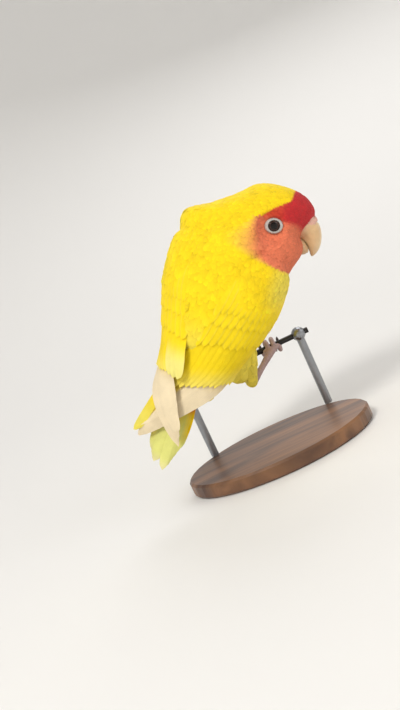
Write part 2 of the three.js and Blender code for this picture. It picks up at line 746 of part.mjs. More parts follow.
// Wire and stand
function rod(from, to, radius, sides = 24) {
  const length = from.distanceTo(to);
  const cylinder = new THREE.CylinderGeometry(radius, radius, length, sides);
  const direction = to.clone().sub(from).normalize();
  cylinder.applyQuaternion(new THREE.Quaternion().setFromUnitVectors(new THREE.Vector3(0, 1, 0), direction));
  const middle = from.clone().lerp(to, 0.5);
  cylinder.translate(middle.x, middle.y, middle.z);
  return solid(cylinder);
}
const wireStart = seat(WIRE_ENDS[0], WIRE_DEPTH, WIRE_HEIGHT);
const wireEnd = seat(WIRE_ENDS[1], WIRE_DEPTH, WIRE_HEIGHT);
node("perch_wire", rod(wireStart, wireEnd, WIRE_RADIUS), "wire");
const wireBore = rod(wireStart, wireEnd, WIRE_RADIUS + GAP, 14);
ROD_AT.forEach((x, i) => {
  const top = seat(x, WIRE_DEPTH, WIRE_HEIGHT);
  const foot = new THREE.Vector3(top.x, top.y, BASE_HEIGHT + GAP);
  const post = rod(foot, top, ROD_RADIUS, 14).add(ball(top, 3.6, 12));
  node(`stand_rod_${i === 0 ? "left" : "right"}`, post.subtract(wireBore), "steel");
});
const outline = new THREE.Shape();
const [wide, deep] = BASE_SIZE;
outline.absellipse(0, 0, wide / 2 - 1, deep / 2 - 1, 0, 2 * Math.PI);
const slab = new THREE.ExtrudeGeometry(outline, {
  depth: BASE_HEIGHT - 2,
  bevelEnabled: true,
  bevelThickness: 1,
  bevelSize: 1,
  bevelSegments: 1,
  curveSegments: 20,
});
slab.translate(0, 0, 1);
node("stand_base", solid(slab), "wood");

export default group;
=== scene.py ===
# Peach-faced lovebird, yellow form, on a cut length of wire and a plain display stand.
# The frame is in metres. Shapes are worked out in millimetres and scaled once, in mesh_of.
import math

import bpy
import numpy as np
from mathutils import Matrix, Vector
from mathutils.bvhtree import BVHTree
from mathutils.kdtree import KDTree


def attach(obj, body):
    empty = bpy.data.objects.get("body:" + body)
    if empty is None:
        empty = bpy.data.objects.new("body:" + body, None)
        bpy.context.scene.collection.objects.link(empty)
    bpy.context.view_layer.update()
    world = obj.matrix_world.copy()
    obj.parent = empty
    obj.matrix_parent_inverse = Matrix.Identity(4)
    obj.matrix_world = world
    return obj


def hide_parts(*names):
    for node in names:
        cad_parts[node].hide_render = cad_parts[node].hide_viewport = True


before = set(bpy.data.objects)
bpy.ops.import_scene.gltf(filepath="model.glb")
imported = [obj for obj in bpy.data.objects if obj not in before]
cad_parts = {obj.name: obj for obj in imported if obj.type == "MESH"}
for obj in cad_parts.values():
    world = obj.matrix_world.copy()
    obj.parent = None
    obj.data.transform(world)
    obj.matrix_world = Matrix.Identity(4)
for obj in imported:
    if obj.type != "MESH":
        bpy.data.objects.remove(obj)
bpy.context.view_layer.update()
rng = np.random.default_rng(17)

# Driving sizes, in millimetres
MM = 0.001
TILT = math.radians(50.8)
BODY_AT = np.array([-16, -2, 60])
COAT = 1.1
HEAD_COAT = 0.45
EYE_S, EYE_T = 64.8, 15.6
HEAD_DEPTH = -2
EYE_OUT = 10.6
EYE_BALL = 4.3
WIRE_RADIUS, WIRE_HEIGHT, WIRE_DEPTH = 1.4, -15, 25
GAP = 0.3
VANE_THICK, CAMBER = 0.07, 0.18

ALONG = np.array([math.cos(TILT), 0, math.sin(TILT)])
ACROSS = np.array([math.sin(TILT), 0, -math.cos(TILT)])
AWAY = np.array([0, 1, 0])

# Sections: station, centre across and deep, reach right, left, back and belly, roll, narrowing to the bill
FORM = np.array([
    [83, 16.6, -2, 3.2, 3.2, 2, 2, 0, 0],
    [82.4, 16.5, -2, 7.6, 7.6, 5.2, 5.2, 0, 0.05],
    [80.8, 16.3, -2, 12.6, 11.7, 8.5, 8.5, 0, 0.1],
    [77.4, 15.8, -2, 17.4, 15.2, 12, 12, 0, 0.2],
    [74, 14.8, -2, 20.2, 18.4, 13.9, 13.9, 0, 0.28],
    [71, 13.8, -2, 20.8, 22, 15, 15, 0, 0.34],
    [68, 12.8, -2, 20.2, 25.4, 16, 15.8, 2, 0.34],
    [65.5, 11.5, -2, 19.7, 29.2, 16.6, 16, 5, 0.3],
    [63.5, 10, -1.8, 20.5, 32, 17.3, 16.2, 9, 0.26],
    [60, 8, -1.4, 25, 32.8, 18.4, 16.8, 14, 0.28],
    [55, 6, -1, 27.6, 30.6, 19.3, 18, 19, 0.2],
    [48, 4.2, -0.5, 27.2, 27.6, 20, 20, 23, 0.07],
    [40, 3, 0, 26.6, 26, 20.3, 21.5, 25, 0],
    [30, 2.2, 0, 25.4, 24.4, 20.2, 21.8, 25, 0],
    [20, 1.8, 0, 23.8, 22.4, 19.2, 20, 25, 0],
    [10, 1.2, -0.4, 21, 19.6, 17.3, 16.6, 25, 0],
    [0, 0.4, -1.2, 17.4, 16.4, 14.6, 12.2, 25, 0],
    [-8, -0.6, -2.4, 13.6, 13, 11.6, 8.2, 25, 0],
    [-15, -1.6, -3.6, 10.4, 10, 8.6, 5.4, 25, 0],
    [-22, -2.4, -4.6, 7.6, 7.6, 5.4, 3.4, 25, 0],
    [-28, -3, -5.2, 5.6, 5.6, 2.6, 1.6, 25, 0],
])
WING_GUIDE = np.vstack([
    FORM[(FORM[:, 0] <= 63.5) & (FORM[:, 0] >= 0)] * [1, 1, 1, 1, 1, 1, 1, 1, 0],
    [
        [-10, -0.6, -2.2, 15.5, 15.5, 11.8, 8, 25, 0],
        [-20, -1.6, -3.2, 16.5, 16.5, 9.8, 6, 25, 0],
        [-32, -2.6, -4, 20, 20, 8.2, 6, 25, 0],
        [-46, -3.6, -4.6, 25, 25, 7, 6, 25, 0],
        [-64, -4.6, -5.2, 28, 28, 6, 6, 25, 0],
    ],
])
TAIL_GUIDE = np.array([
    [0, -0.6, -1.6, 26, 26, 6, 6, 25, 0],
    [-20, -2.2, -3.6, 26, 26, 3.6, 5, 25, 0],
    [-40, -3.8, -4.6, 30, 30, 3, 5, 25, 0],
    [-64, -5.2, -5.4, 34, 34, 2.8, 5, 25, 0],
])


def place(s, t, y, middle=BODY_AT, axes=(ALONG, ACROSS, AWAY)):
    """Points from station along the body, across it and away from the viewer, or on other axes."""
    s, t, y = np.broadcast_arrays(s, t, y)
    return middle + s[..., None] * axes[0] + t[..., None] * axes[1] + y[..., None] * axes[2]


def seat(x, y, z):
    """A point beside the body's middle, along the axes of the frame."""
    return BODY_AT + np.array([x, y, z], float)


def body_place(points):
    """Station, across and away of points."""
    local = points - BODY_AT
    return local @ ALONG, local @ ACROSS, local @ AWAY


def smooth(x, low, high):
    f = np.clip((x - low) / (high - low), 0, 1)
    return f * f * (3 - 2 * f)


def mixed(a, b, f):
    """Points or colours from a to b, at each share f."""
    return a + (b - a) * np.asarray(f)[..., None]


def around(count):
    """Angles once round."""
    return np.linspace(0, 2 * math.pi, count, endpoint=False)


def unit(vectors):
    return vectors / np.maximum(np.linalg.norm(vectors, axis=-1, keepdims=True), 1e-9)


def lookup(table, key):
    """Smooth values of a table with falling keys, at each key."""
    last = len(table) - 1
    i = np.clip(np.searchsorted(-table[:, 0], -key, side="right") - 1, 0, last - 1)
    before, here = table[np.maximum(i - 1, 0)], table[i]
    after, beyond = table[i + 1], table[np.minimum(i + 2, last)]
    step = after[:, :1] - here[:, :1]
    f = np.clip((key[:, None] - here[:, :1]) / step, 0, 1)
    slope_here = (after - before) / (after[:, :1] - before[:, :1]) * step
    slope_after = (beyond - here) / (beyond[:, :1] - here[:, :1]) * step
    f2, f3 = f * f, f * f * f
    values = (2 * f3 - 3 * f2 + 1) * here + (f3 - 2 * f2 + f) * slope_here
    return (values + (3 * f2 - 2 * f3) * after + (f3 - f2) * slope_after)[:, 1:]


def section_point(rows, angle, grow=0):
    """Across and deep of a point on a section, at an angle from the viewer's side to the bird's right."""
    t, y, right, left, back, belly, roll_degrees, narrow = (rows[..., i] for i in range(8))
    roll = np.radians(roll_degrees)
    side, up = np.sin(angle + roll), np.cos(angle + roll)
    waist = 1 - narrow * np.maximum(0, np.sin(angle)) ** 2
    a = (np.where(side > 0, right, left) + grow) * side
    b = (np.where(up > 0, back, belly) + grow) * up * waist
    return t + a * np.cos(roll) - b * np.sin(roll), y - a * np.sin(roll) - b * np.cos(roll)


def on_guide(guide, s, c, h):
    """Points over a guide: station, arc length from the midline of the back, height."""
    shape = np.broadcast(s, c, h).shape
    s, c, h = (np.broadcast_to(v, shape).ravel().astype(float) for v in (s, c, h))
    rows = lookup(guide, s)
    sign = np.where(c >= 0, 1, -1)
    steps = np.linspace(0, math.pi, 73)
    angles = -np.radians(rows[:, 6:7]) + sign[:, None] * steps
    t, y = section_point(rows[:, None], angles)
    run = np.hypot(np.diff(t, axis=1), np.diff(y, axis=1))
    arc = np.concatenate([np.zeros((len(s), 1)), np.cumsum(run, axis=1)], axis=1)
    i = np.clip((arc < np.abs(c)[:, None]).sum(axis=1), 1, 72)
    pick = np.arange(len(s))
    f = (np.abs(c) - arc[pick, i - 1]) / (arc[pick, i] - arc[pick, i - 1])
    angle = angles[pick, i - 1] + (angles[pick, i] - angles[pick, i - 1]) * f
    t, y = section_point(rows, angle)
    t1, y1 = section_point(rows, angle + 0.01)
    t0, y0 = section_point(rows, angle - 0.01)
    length = np.hypot(t1 - t0, y1 - y0)
    points = place(s, t + h * (y1 - y0) / length, y - h * (t1 - t0) / length)
    return points.reshape(shape + (3,))


# Colours, as seen, and the markings over the body


def shade(*rgb):
    """A linear colour from screen values of 0 to 255."""
    c = np.array(rgb, float) / 255
    return np.where(c <= 0.04045, c / 12.92, ((c + 0.055) / 1.055) ** 2.4)


YELLOW = shade(252, 220, 14)
DEEP_YELLOW = shade(248, 208, 6)
LEMON = shade(238, 222, 92)
RED = shade(196, 40, 44)
BROW_RED = shade(220, 80, 46)
SALMON = shade(230, 122, 86)
PEACH = shade(241, 178, 96)
CREAM = shade(238, 220, 184)
PALE = shade(244, 232, 130)
TAIL_GREEN = shade(224, 223, 128)
HORN = shade(216, 178, 130)
HORN_PALE = shade(236, 208, 164)
CERE_PINK = shade(226, 176, 158)
RING_GREY = shade(186, 183, 178)
LEG_PINK = shade(178, 150, 148)
DARK_GREY = shade(96, 84, 80)
HORN_TIP = shade(190, 146, 104)
# Painted shade inside the nostrils
NOSTRIL_SHADE = shade(70, 40, 36)
WALNUT_DARK = shade(72, 44, 28)
WALNUT_PALE = shade(134, 92, 58)
BLACK = shade(26, 26, 28)
STEEL = shade(150, 152, 156)

# Edge of the face colour on each side: station, how far across it lies, and how soft it is
FACE_EDGE = np.array([
    [90, 28, 0.5], [81.5, 21.6, 0.5], [77.2, 20.5, 0.5], [74.4, 16.8, 0.5], [72.3, 13.7, 0.5],
    [68.2, 9.6, 0.7], [66.8, 6.4, 1.2], [62, 4.6, 4.6], [57, 3, 9.4], [53, 3.4, 9.4],
    [50, 8.6, 7], [48, 14.8, 4.2], [46.8, 21, 3], [46, 28, 3], [45, 40, 3],
])


def plumage(points):
    """Colour of the coat at each point."""
    s, t, y = body_place(points)
    edge, soft = (np.interp(-s, -FACE_EDGE[:, 0], FACE_EDGE[:, i]) for i in (1, 2))
    face = smooth((t - edge) / soft, -1, 1)
    high = smooth(s, 66, 69) * smooth(t, 6, 9)
    high = np.maximum(high, smooth(s + 0.42 * (t - 24), 66, 70.5))
    red = mixed(RED, BROW_RED, 0.85 * smooth(-t, -21, -13))
    # Lower on the face, towards the chin, the salmon is darkened a little: painted shade under the head.
    cheek = mixed(mixed(PEACH, SALMON, face), SALMON * 0.94, smooth(t, 16, 28))
    skin = mixed(cheek, red, high)
    body = mixed(YELLOW, DEEP_YELLOW, 0.6 * smooth(s, 10, 50) * smooth(-y, 0, 14))
    body = mixed(body, LEMON, 0.75 * smooth(-s, -22, 4))
    body = mixed(body, LEMON, 0.7 * smooth(t, 16, 26) * smooth(-s, -52, -44) * smooth(s, 24, 38))
    return mixed(body, skin, face)


# Materials


def new_material(name, roughness, **sockets):
    material = bpy.data.materials.new(name)
    material.use_nodes = True
    inputs = material.node_tree.nodes["Principled BSDF"].inputs
    inputs["Roughness"].default_value = roughness
    for socket, value in sockets.items():
        inputs[socket.replace("_", " ").title().replace("Ior", "IOR")].default_value = value
    return material, material.node_tree


def feed(tree, socket, value):
    """Links a socket to another one, or gives it a value."""
    if isinstance(value, bpy.types.NodeSocket):
        tree.links.new(value, socket)
    else:
        socket.default_value = value


def add_node(tree, kind, **values):
    node = tree.nodes.new("ShaderNode" + kind)
    for key, value in values.items():
        if key in node.inputs:
            feed(tree, node.inputs[key], value)
        else:
            setattr(node, key, value)
    return node


def math_node(tree, operation, *values):
    node = add_node(tree, "Math", operation=operation)
    for socket, value in zip(node.inputs, values):
        feed(tree, socket, value)
    return node.outputs[0]


def in_metres(tree, kind, **values):
    """A node that reads places on the piece, in metres."""
    return add_node(tree, kind, Vector=add_node(tree, "TexCoord").outputs["Object"], **values)


def noise(tree, scale, detail=3):
    return in_metres(tree, "TexNoise", Scale=scale, Detail=detail, Roughness=0.55).outputs["Fac"]


def tint(tree, colour, factor, low, high):
    """Colour made darker or lighter as factor goes from 0 to 1."""
    ramp = add_node(tree, "MapRange", Value=factor, **{"To Min": low, "To Max": high})
    mix = add_node(tree, "VectorMath", operation="SCALE", Vector=colour, Scale=ramp.outputs["Result"])
    return mix.outputs[0]


def surface(material, colour, height=None, strength=0, distance=0):
    """Gives a material its colour and relief."""
    tree = material.node_tree
    inputs = tree.nodes["Principled BSDF"].inputs
    feed(tree, inputs["Base Color"], colour)
    if height is not None:
        bump = add_node(tree, "Bump", Height=height, Strength=strength, Distance=distance)
        feed(tree, inputs["Normal"], bump.outputs["Normal"])
    return material


def painted(tree):
    return add_node(tree, "VertexColor", layer_name="Col").outputs["Color"]


def ramp_node(tree, factor, stops):
    """Colour from stops of place and colour."""
    node = add_node(tree, "ValToRGB", Fac=factor)
    elements = node.color_ramp.elements
    for i, (at, colour) in enumerate(stops):
        element = elements[i] if i < 2 else elements.new(at)
        element.position = at
        element.color = (*colour, 1)
    return node.outputs["Color"]


def vane_axes(tree):
    """How far along and how far across a vane a place lies, each from 0 to 1."""
    uv = add_node(tree, "UVMap", uv_map="Vane").outputs["UV"]
    return add_node(tree, "SeparateXYZ", Vector=uv).outputs[:2]


def feather_material(name, barbs, strength, sheen):
    """Barbs run out and back from the shaft, and the shaft itself is a fine line."""
    material, tree = new_material(
        name, 0.7, sheen_weight=sheen, sheen_roughness=0.45, specular_ior_level=0.25
    )
    down, over = vane_axes(tree)
    off_shaft = math_node(tree, "ABSOLUTE", math_node(tree, "SUBTRACT", over, 0.5))
    slant = math_node(tree, "SUBTRACT", down, math_node(tree, "MULTIPLY", off_shaft, 0.55))
    lines = math_node(tree, "SINE", math_node(tree, "MULTIPLY", slant, barbs * 2 * math.pi))
    height = math_node(tree, "ADD", lines, math_node(tree, "MULTIPLY", noise(tree, 900), 1.4))
    colour = tint(tree, painted(tree), lines, 0.96, 1.03)
    colour = tint(tree, colour, noise(tree, 160), 0.84, 1.14)
    return surface(material, colour, height, strength, 0.00012)


coat_material = feather_material("plumage", 14, 0.35, 0.07)
vane_material = feather_material("flight_vane", 60, 0.3, 0.05)


def skin_material():
    material, tree = new_material("plumage_base", 0.8)
    colour = tint(tree, painted(tree), noise(tree, 1400), 0.86, 1.04)
    return surface(material, colour, noise(tree, 2600), 0.5, 0.0003)


# Meshes


def add_object(name, data):
    made = bpy.data.objects.new(name, data)
    bpy.context.scene.collection.objects.link(made)
    return made


def mesh_of(name, points, quads, colours, material, slot, vane_uv=None, bake_uv=None, replaces=()):
    """A piece of the bird from points in millimetres and four-sided faces."""
    points, colours = points.reshape(-1, 3), colours.reshape(-1, 3)
    mesh = bpy.data.meshes.new(name)
    mesh.from_pydata(points * MM, [], quads, shade_flat=False)
    mesh.validate()
    paint = mesh.color_attributes.new("Col", "FLOAT_COLOR", "POINT")
    rgba = np.concatenate([np.clip(colours, 0, 1), np.ones((len(points), 1))], axis=1)
    paint.data.foreach_set("color", rgba.astype(np.float32).ravel())
    for layer_name, uv in (("OFBake", bake_uv), ("Vane", vane_uv)):
        if uv is not None:
            layer = mesh.uv_layers.new(name=layer_name)
            layer.data.foreach_set("uv", uv[quads.ravel()].astype(np.float32).ravel())
    mesh.materials.append(material)
    piece = add_object(name, mesh)
    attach(piece, "root")
    if replaces:
        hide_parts(*replaces)


def grid_quads(rows, columns, wrap=False):
    i, j = np.meshgrid(np.arange(rows - 1), np.arange(columns if wrap else columns - 1), indexing="ij")
    a = i * columns + j
    b = i * columns + (j + 1) % columns
    return np.stack([a, b, b + columns, a + columns], axis=-1).reshape(-1, 4)


def grid_uv(rows, columns, low=0, high=1):
    u, v = np.meshgrid(np.linspace(low, high, rows), np.linspace(low, high, columns), indexing="ij")
    return np.stack([u, v], axis=-1).reshape(-1, 2)


def two_sheets(stations, columns, count, turned=False):
    """Faces and places on the vane for many vanes, each an upper and a lower grid of points."""
    level = stations * columns
    sheet = grid_quads(stations, columns)[:, ::-1 if turned else 1]
    both = np.concatenate([sheet, level + sheet[:, ::-1]])
    quads = both + (np.arange(count) * 2 * level)[:, None, None]
    return quads.reshape(-1, 4), np.tile(grid_uv(stations, columns), (2 * count, 1))


def feather_piece(name, spine, side, out, half, colour, bake, slot):
    """Many small feathers as one piece, each of two sheets that meet at their edges. spine, side and
    out are feathers x stations x 3, and half is feathers x stations."""
    v = np.array([-1, 0, 1])
    reach = half[..., None] * v
    base = spine[:, :, None] + side[:, :, None] * reach[..., None]
    fall = (np.abs(reach) * CAMBER * np.abs(v))[..., None]
    lift = (VANE_THICK * (1 - v * v))[:, None]
    upper = base + out[:, :, None] * (lift - fall)
    lower = base - out[:, :, None] * (fall + 0.15 * lift)
    count, stations = half.shape
    quads, vane_uv = two_sheets(stations, len(v), count)
    paint = np.broadcast_to(colour[:, :, None], upper.shape)
    patch = bake[:, None] + 0.003 * (vane_uv.reshape(count, -1, 2) - 0.5)
    # The lower sheet gets the upper sheet's colour darkened by a tenth: painted shade on the underside.
    mesh_of(
        name, np.concatenate([upper, lower], axis=1), quads, np.concatenate([paint, paint * 0.9], axis=1),
        coat_material, slot, vane_uv, patch.reshape(-1, 2),
    )


# The skin: head, neck, trunk, shoulders, thighs and flanks as one closed surface


def ring_body(rings, start, end):
    """Closed shape from rings of points with a pole at each end, as points and faces."""
    count, sides = rings.shape[:2]
    points = np.concatenate([rings.reshape(-1, 3), [start], [end]])
    faces = grid_quads(count, sides, wrap=True).tolist()
    pole = count * sides
    for j in range(sides):
        after = (j + 1) % sides
        faces.append([after, j, pole])
        faces.append([pole - sides + j, pole - sides + after, pole + 1])
    return points, faces


def trunk_shape():
    stations = np.linspace(82.9, -27.8, 110)
    angles = around(72)
    rows = lookup(FORM, stations)
    under = HEAD_COAT + (COAT - HEAD_COAT) * smooth(-stations, -66, -50)
    t, y = section_point(rows[:, None], angles[None, :], -under[:, None])
    rings = place(stations[:, None], t, y)
    return ring_body(rings, place(82.6, 16.6, -2), place(-27.9, -3, -5.2))


def sheet_shape(side, patch, low, columns=12, rows=36):
    """A closed curved plate over the wing guide, from rows of station, inner and outer arc and height."""
    table = np.array(patch, float)
    s = np.linspace(table[0, 0], table[-1, 0], rows)
    inner, outer, high = lookup(table, s).T
    f = np.linspace(0, 1, columns)
    c = side * (inner[:, None] + (outer - inner)[:, None] * f)
    rim = np.sqrt(np.clip(1 - np.abs(2 * f - 1) ** 5, 0, 1))
    ends = np.sqrt(np.clip(1 - np.abs(np.linspace(-1, 1, rows)) ** 9, 0, 1))
    top = on_guide(WING_GUIDE, s[:, None], c, low + (high - low)[:, None] * rim * ends[:, None])
    bottom = on_guide(WING_GUIDE, s[:, None], c, low)
    index = np.arange(rows * columns).reshape(rows, columns)
    edge = np.concatenate([index[0], index[1:, -1], index[-1, -2::-1], index[-2:0:-1, 0]])
    after = np.roll(edge, -1)
    border = np.stack([after, edge, edge + index.size, after + index.size], axis=1)
    quads = grid_quads(rows, columns)
    faces = np.concatenate([quads, index.size + quads[:, ::-1], border])
    return np.concatenate([top, bottom]).reshape(-1, 3), faces.tolist()


def limb_rings(points, radii, sides=16, steps=10):
    """Rings along a smooth line through points, with a radius at each point, as rings and line."""
    points = np.array(points, float)
    knots = np.linspace(0, len(points) - 1, (len(points) - 1) * steps + 1)
    i = np.clip(knots.astype(int), 0, len(points) - 2)
    f = (knots - i)[:, None]
    p0, p1 = points[np.maximum(i - 1, 0)], points[i]
    p2, p3 = points[i + 1], points[np.minimum(i + 2, len(points) - 1)]
    line = 0.5 * (2 * p1 + (p2 - p0) * f + (2 * p0 - 5 * p1 + 4 * p2 - p3) * f ** 2)
    line += 0.5 * (3 * p1 - p0 - 3 * p2 + p3) * f ** 3
    ahead = unit(np.gradient(line, axis=0))
    across = np.cross(ahead[0], [0.3, 0.2, 1])
    angles = around(sides)
    radius = np.interp(knots, np.arange(len(radii)) * (len(points) - 1) / (len(radii) - 1), radii)
    rings = []
    for middle, run, r in zip(line, ahead, radius):
        across = unit(across - run * (across @ run))
        other = np.cross(run, across)
        rings.append(middle + r * (np.cos(angles)[:, None] * across + np.sin(angles)[:, None] * other))
    return np.array(rings), line


def closed_limb(points, radii):
    rings, line = limb_rings(points, radii)
    return ring_body(rings, line[0], line[-1])


SHIELD_FRONTS = {
    1: [[55, 10, 20, -2.2], [51.5, 9, 27, -0.8], [48, 8, 33, 1.2], [42.5, 7.4, 40.5, 2.8]],
    -1: [[57, 10, 22, -1.4], [54, 9, 29, 0.9], [50, 8, 35.5, 2.4], [42, 7.4, 42.5, 3.1]],
}
SHIELD_REAR = [
    [34, 7, 44.5, 3.2], [26, 7, 44, 3.1], [21, 7, 43, 0], [14, 6.4, 39, -0.7], [6, 4.6, 34, -0.9],
]
MANTLE = [
    [62, -12, 12, 0.3], [55, -15, 15, 2], [44, -15, 15, 3], [34, -14, 14, 3.1],
    [27, -10.5, 10.5, 3.3], [20, -8, 8, 3.2], [13, -6.5, 6.5, 3], [6, -5, 5, 2.5], [0, -3, 3, 0.8],
]
HEELS = {"right": seat(17, 14.5, -26), "left": seat(-5, 13, -23)}
HIPS = {"right": seat(19, 5, 0), "left": seat(-1, 8, -1)}


def eye_centre(side):
    return place(EYE_S, EYE_T, HEAD_DEPTH + side * EYE_OUT)


BILL_AT = place(66.5, 31, HEAD_DEPTH)
EYES = {"right": -1, "left": 1}
RING_LONG = unit(0.97 * ACROSS + 0.24 * ALONG)
RING_HIGH = unit(0.97 * ALONG - 0.24 * ACROSS)
RING_HALF = (4, 3.4)
SHOULDER_END = 29.5
FLANK_REACH = np.array([-7.5, 5, -21])
SOCKET_FLOOR, SOCKET_RIM, SOCKET_END = 1.9, 4.8, 14


def joined(shapes):
    """Several shapes as one list of points and one of faces."""
    points, faces, start = [], [], 0
    for shape_points, shape_faces in shapes:
        points.append(shape_points)
        faces += [[start + v for v in face] for face in shape_faces]
        start += len(shape_points)
    return np.concatenate(points), faces


def skin_shapes():
    yield trunk_shape()
    yield sheet_shape(1, MANTLE, -2.6)
    for side in (1, -1):
        yield sheet_shape(side, SHIELD_FRONTS[side] + SHIELD_REAR, -2.8)
    for name in HEELS:
        yield closed_limb(mixed(HIPS[name], HEELS[name], [0, 0.42, 0.76, 1.02]), [7.6, 6.3, 3.7, 2])
        yield closed_limb(HIPS[name] + FLANK_REACH * [[0], [0.55], [1]], [7, 6, 2.6])


def press_sockets(points):
    """Lowers the skin round each eye, and flattens the lore between eye and bill."""
    for side in EYES.values():
        centre = eye_centre(side)
        local = points - centre
        height = local @ (AWAY * side)
        radius = np.linalg.norm(local - height[:, None] * AWAY * side, axis=1)
        ahead = np.maximum(local @ unit(BILL_AT - centre), 0)
        bank = 8 - 7.4 * smooth(ahead / np.maximum(radius, 0.1), 0, 0.75)
        rim, beyond = smooth(radius, 3, SOCKET_RIM), smooth(radius, SOCKET_RIM, SOCKET_END)
        floor = SOCKET_FLOOR + 0.8 * rim + bank * beyond - 0.13 * ahead
        near = (radius < SOCKET_END) & (height > 0)
        points[near] += (np.minimum(height, floor) - height)[near, None] * AWAY * side


def make_skin():
    """The shapes melted into one surface, as points and faces."""
    points, faces = joined(skin_shapes())
    raw = bpy.data.meshes.new("skin_raw")
    raw.from_pydata(points * MM, [], faces)
    form = add_object("skin_raw", raw)
    remesh = form.modifiers.new("remesh", "REMESH")
    remesh.mode = "VOXEL"
    remesh.voxel_size = 0.6 * MM
    even = form.modifiers.new("even", "SMOOTH")
    even.factor = 0.5
    even.iterations = 22
    made = form.evaluated_get(bpy.context.evaluated_depsgraph_get()).to_mesh()
    skin = np.zeros(len(made.vertices) * 3, np.float32)
    made.vertices.foreach_get("co", skin)
    quads = np.zeros(len(made.loops), np.int32)
    made.loops.foreach_get("vertex_index", quads)
    bpy.data.objects.remove(form)
    skin = skin.reshape(-1, 3).astype(float) / MM
    press_sockets(skin)
    return skin, quads.reshape(-1, 4)


def unwrap(points):
    """Place of each point on an unwrap of the body, round it and along it."""
    s, t, y = body_place(points)
    rows = lookup(FORM, np.clip(s, -28, 83))
    turn = np.arctan2(t - rows[:, 0], -(y - rows[:, 1])) / (2 * math.pi) + 0.5
    return np.stack([0.02 + 0.96 * turn, np.clip(0.02 + 0.96 * (s + 32) / 118, 0.01, 0.99)], axis=1)


skin_points, skin_quads = make_skin()
# The skin takes the coat's colour darkened a little: painted shade under the small feathers.
mesh_of(
    "skin", skin_points, skin_quads, plumage(skin_points) * 0.93, skin_material(), "plumage_body",
    bake_uv=unwrap(skin_points), replaces=("head", "neck", "torso", "thigh_right", "thigh_left"),
)
skin_tree = BVHTree.FromPolygons(skin_points.tolist(), skin_quads.tolist())

# Large feathers of wings and tail, as vanes in tracts
VANE_STATIONS, VANE_WIDE = 24, 9
roofs = []


def tract_between(inner, outer, columns):
    """tract(column, shares) gives station and arc along the line on which a column's feather lies."""
    inner, outer = np.array(inner, float), np.array(outer, float)

    def tract(column, x):
        front, middle, rear = mixed(inner, outer, column / (columns - 1))
        return (front * (1 - x) - rear * x) * (1 - 2 * x) + middle * 4 * x * (1 - x)

    return tract


def rounded(x, tip):
    """Half width of a vane along its length: a narrow root, full in the middle, a round tip."""
    root, widest = 0.4, 0.45
    body = root + (1 - root) * np.sin(np.clip(x / widest, 0, 1) * math.pi / 2) ** 0.8
    end = np.clip((x - tip) / (1 - tip), 0, 1)
    return body * np.sqrt(np.clip(1 - end ** 2.2, 0, 1)) + 0.02


def vane(guide, side, tract, row, k):
    """The feather of one column: its upper and lower sheet, and their colours."""
    x, v = np.linspace(0, 1, VANE_STATIONS)[:, None], np.linspace(-1, 1, VANE_WIDE)
    arch = 1 - v * v
    start, end = row["start"] + rng.normal(0, 0.004), row["end"] + rng.normal(0, row["uneven"])
    half = (np.array(row["half"]) - [row["less"] * k, 0]) * rng.uniform(0.95, 1.06)
    fall = (row["drop"][0] + (row["drop"][1] - row["drop"][0]) * x * x) * k
    rise = row["rise"][0] + (row["rise"][1] - row["rise"][0]) * x * (2 - x) - fall
    ragged = 1 + rng.normal(0, 0.012, x.shape)
    slim = 1 - row["taper"] * smooth(x, 0.45, 1)
    offset = np.where(v < 0, half[0] * slim, half[1]) * v * rounded(x, row["tip"]) * ragged
    low = rise + row["step"] * (offset / row["pitch"] + 0.5) + row["arch"] * arch
    thick = row["thick"] * (1 - 0.6 * x) * (0.2 + 0.8 * arch)
    thick = np.where(np.abs(v) > 0.99, 0, thick)
    shaft = 0.1 * np.exp(-((v + 0.15) / 0.13) ** 2) * (1 - x)
    spot = tract(k, start + (end - start) * x)
    s = spot[:, :1] - 0.12 * np.abs(offset) * (1 - x)
    c = side * (spot[:, 1:] + offset)
    paint = row["paint"](k, side, *np.broadcast_arrays(x, v)) * rng.normal(1, 0.015)
    sheets = [on_guide(guide, s, c, low + thick + shaft), on_guide(guide, s, c, low)]
    # The lower sheet gets the colour darkened a little: painted shade on the underside.
    return sheets, [paint, paint * 0.92]


def vanes(name, guide, side, tract, rows, replaces=()):
    """Tiers of large feathers as one piece, which is also noted as a roof over the small ones."""
    made = [vane(guide, side, tract, row, k) for row in rows for k in row["columns"]]
    points, paints = (np.array(part).reshape(-1, 3) for part in zip(*made))
    quads, vane_uv = two_sheets(VANE_STATIONS, VANE_WIDE, len(made), turned=side > 0)
    across = math.ceil(math.sqrt(2 * len(made)))
    cell = np.repeat(np.arange(2 * len(made)), VANE_STATIONS * VANE_WIDE)
    bake_uv = (np.stack([cell % across, cell // across], axis=-1) + 0.04 + 0.92 * vane_uv) / across
    slot = "plumage_tail" if name.startswith("tail") else "plumage_wing"
    mesh_of(name, points, quads, paints, vane_material, slot, vane_uv, bake_uv, replaces)
    roofs.append((points, quads.tolist()))


def vane_paint(x, v, root, tip, turn, edge=None):
    """Colour from root to tip, with the change at a share of the length, and a colour on the edges."""
    colour = mixed(root, tip, smooth(x, turn - 0.16, turn + 0.16))
    if edge is not None:
        colour = mixed(colour, edge, 0.6 * smooth(np.abs(v), 0.5, 1))
    return colour * (1 - 0.06 * np.exp(-((v + 0.15) / 0.1) ** 2))[..., None]


# Paints of the tiers: column, side, and places along and across the vane


def primary_paint(k, side, x, v):
    border = smooth(-v, 0.6, 0.8) * (k == 0 and side > 0)
    return mixed(vane_paint(x, v, DEEP_YELLOW, CREAM, 0.34), YELLOW, 0.9 * border)


def flight_paint(k, side, x, v):
    tip, turn = (PALE, 0.66) if k < 3 and side < 0 else (mixed(YELLOW, PALE, 0.5), 0.85)
    return vane_paint(x, v, YELLOW, tip, turn)


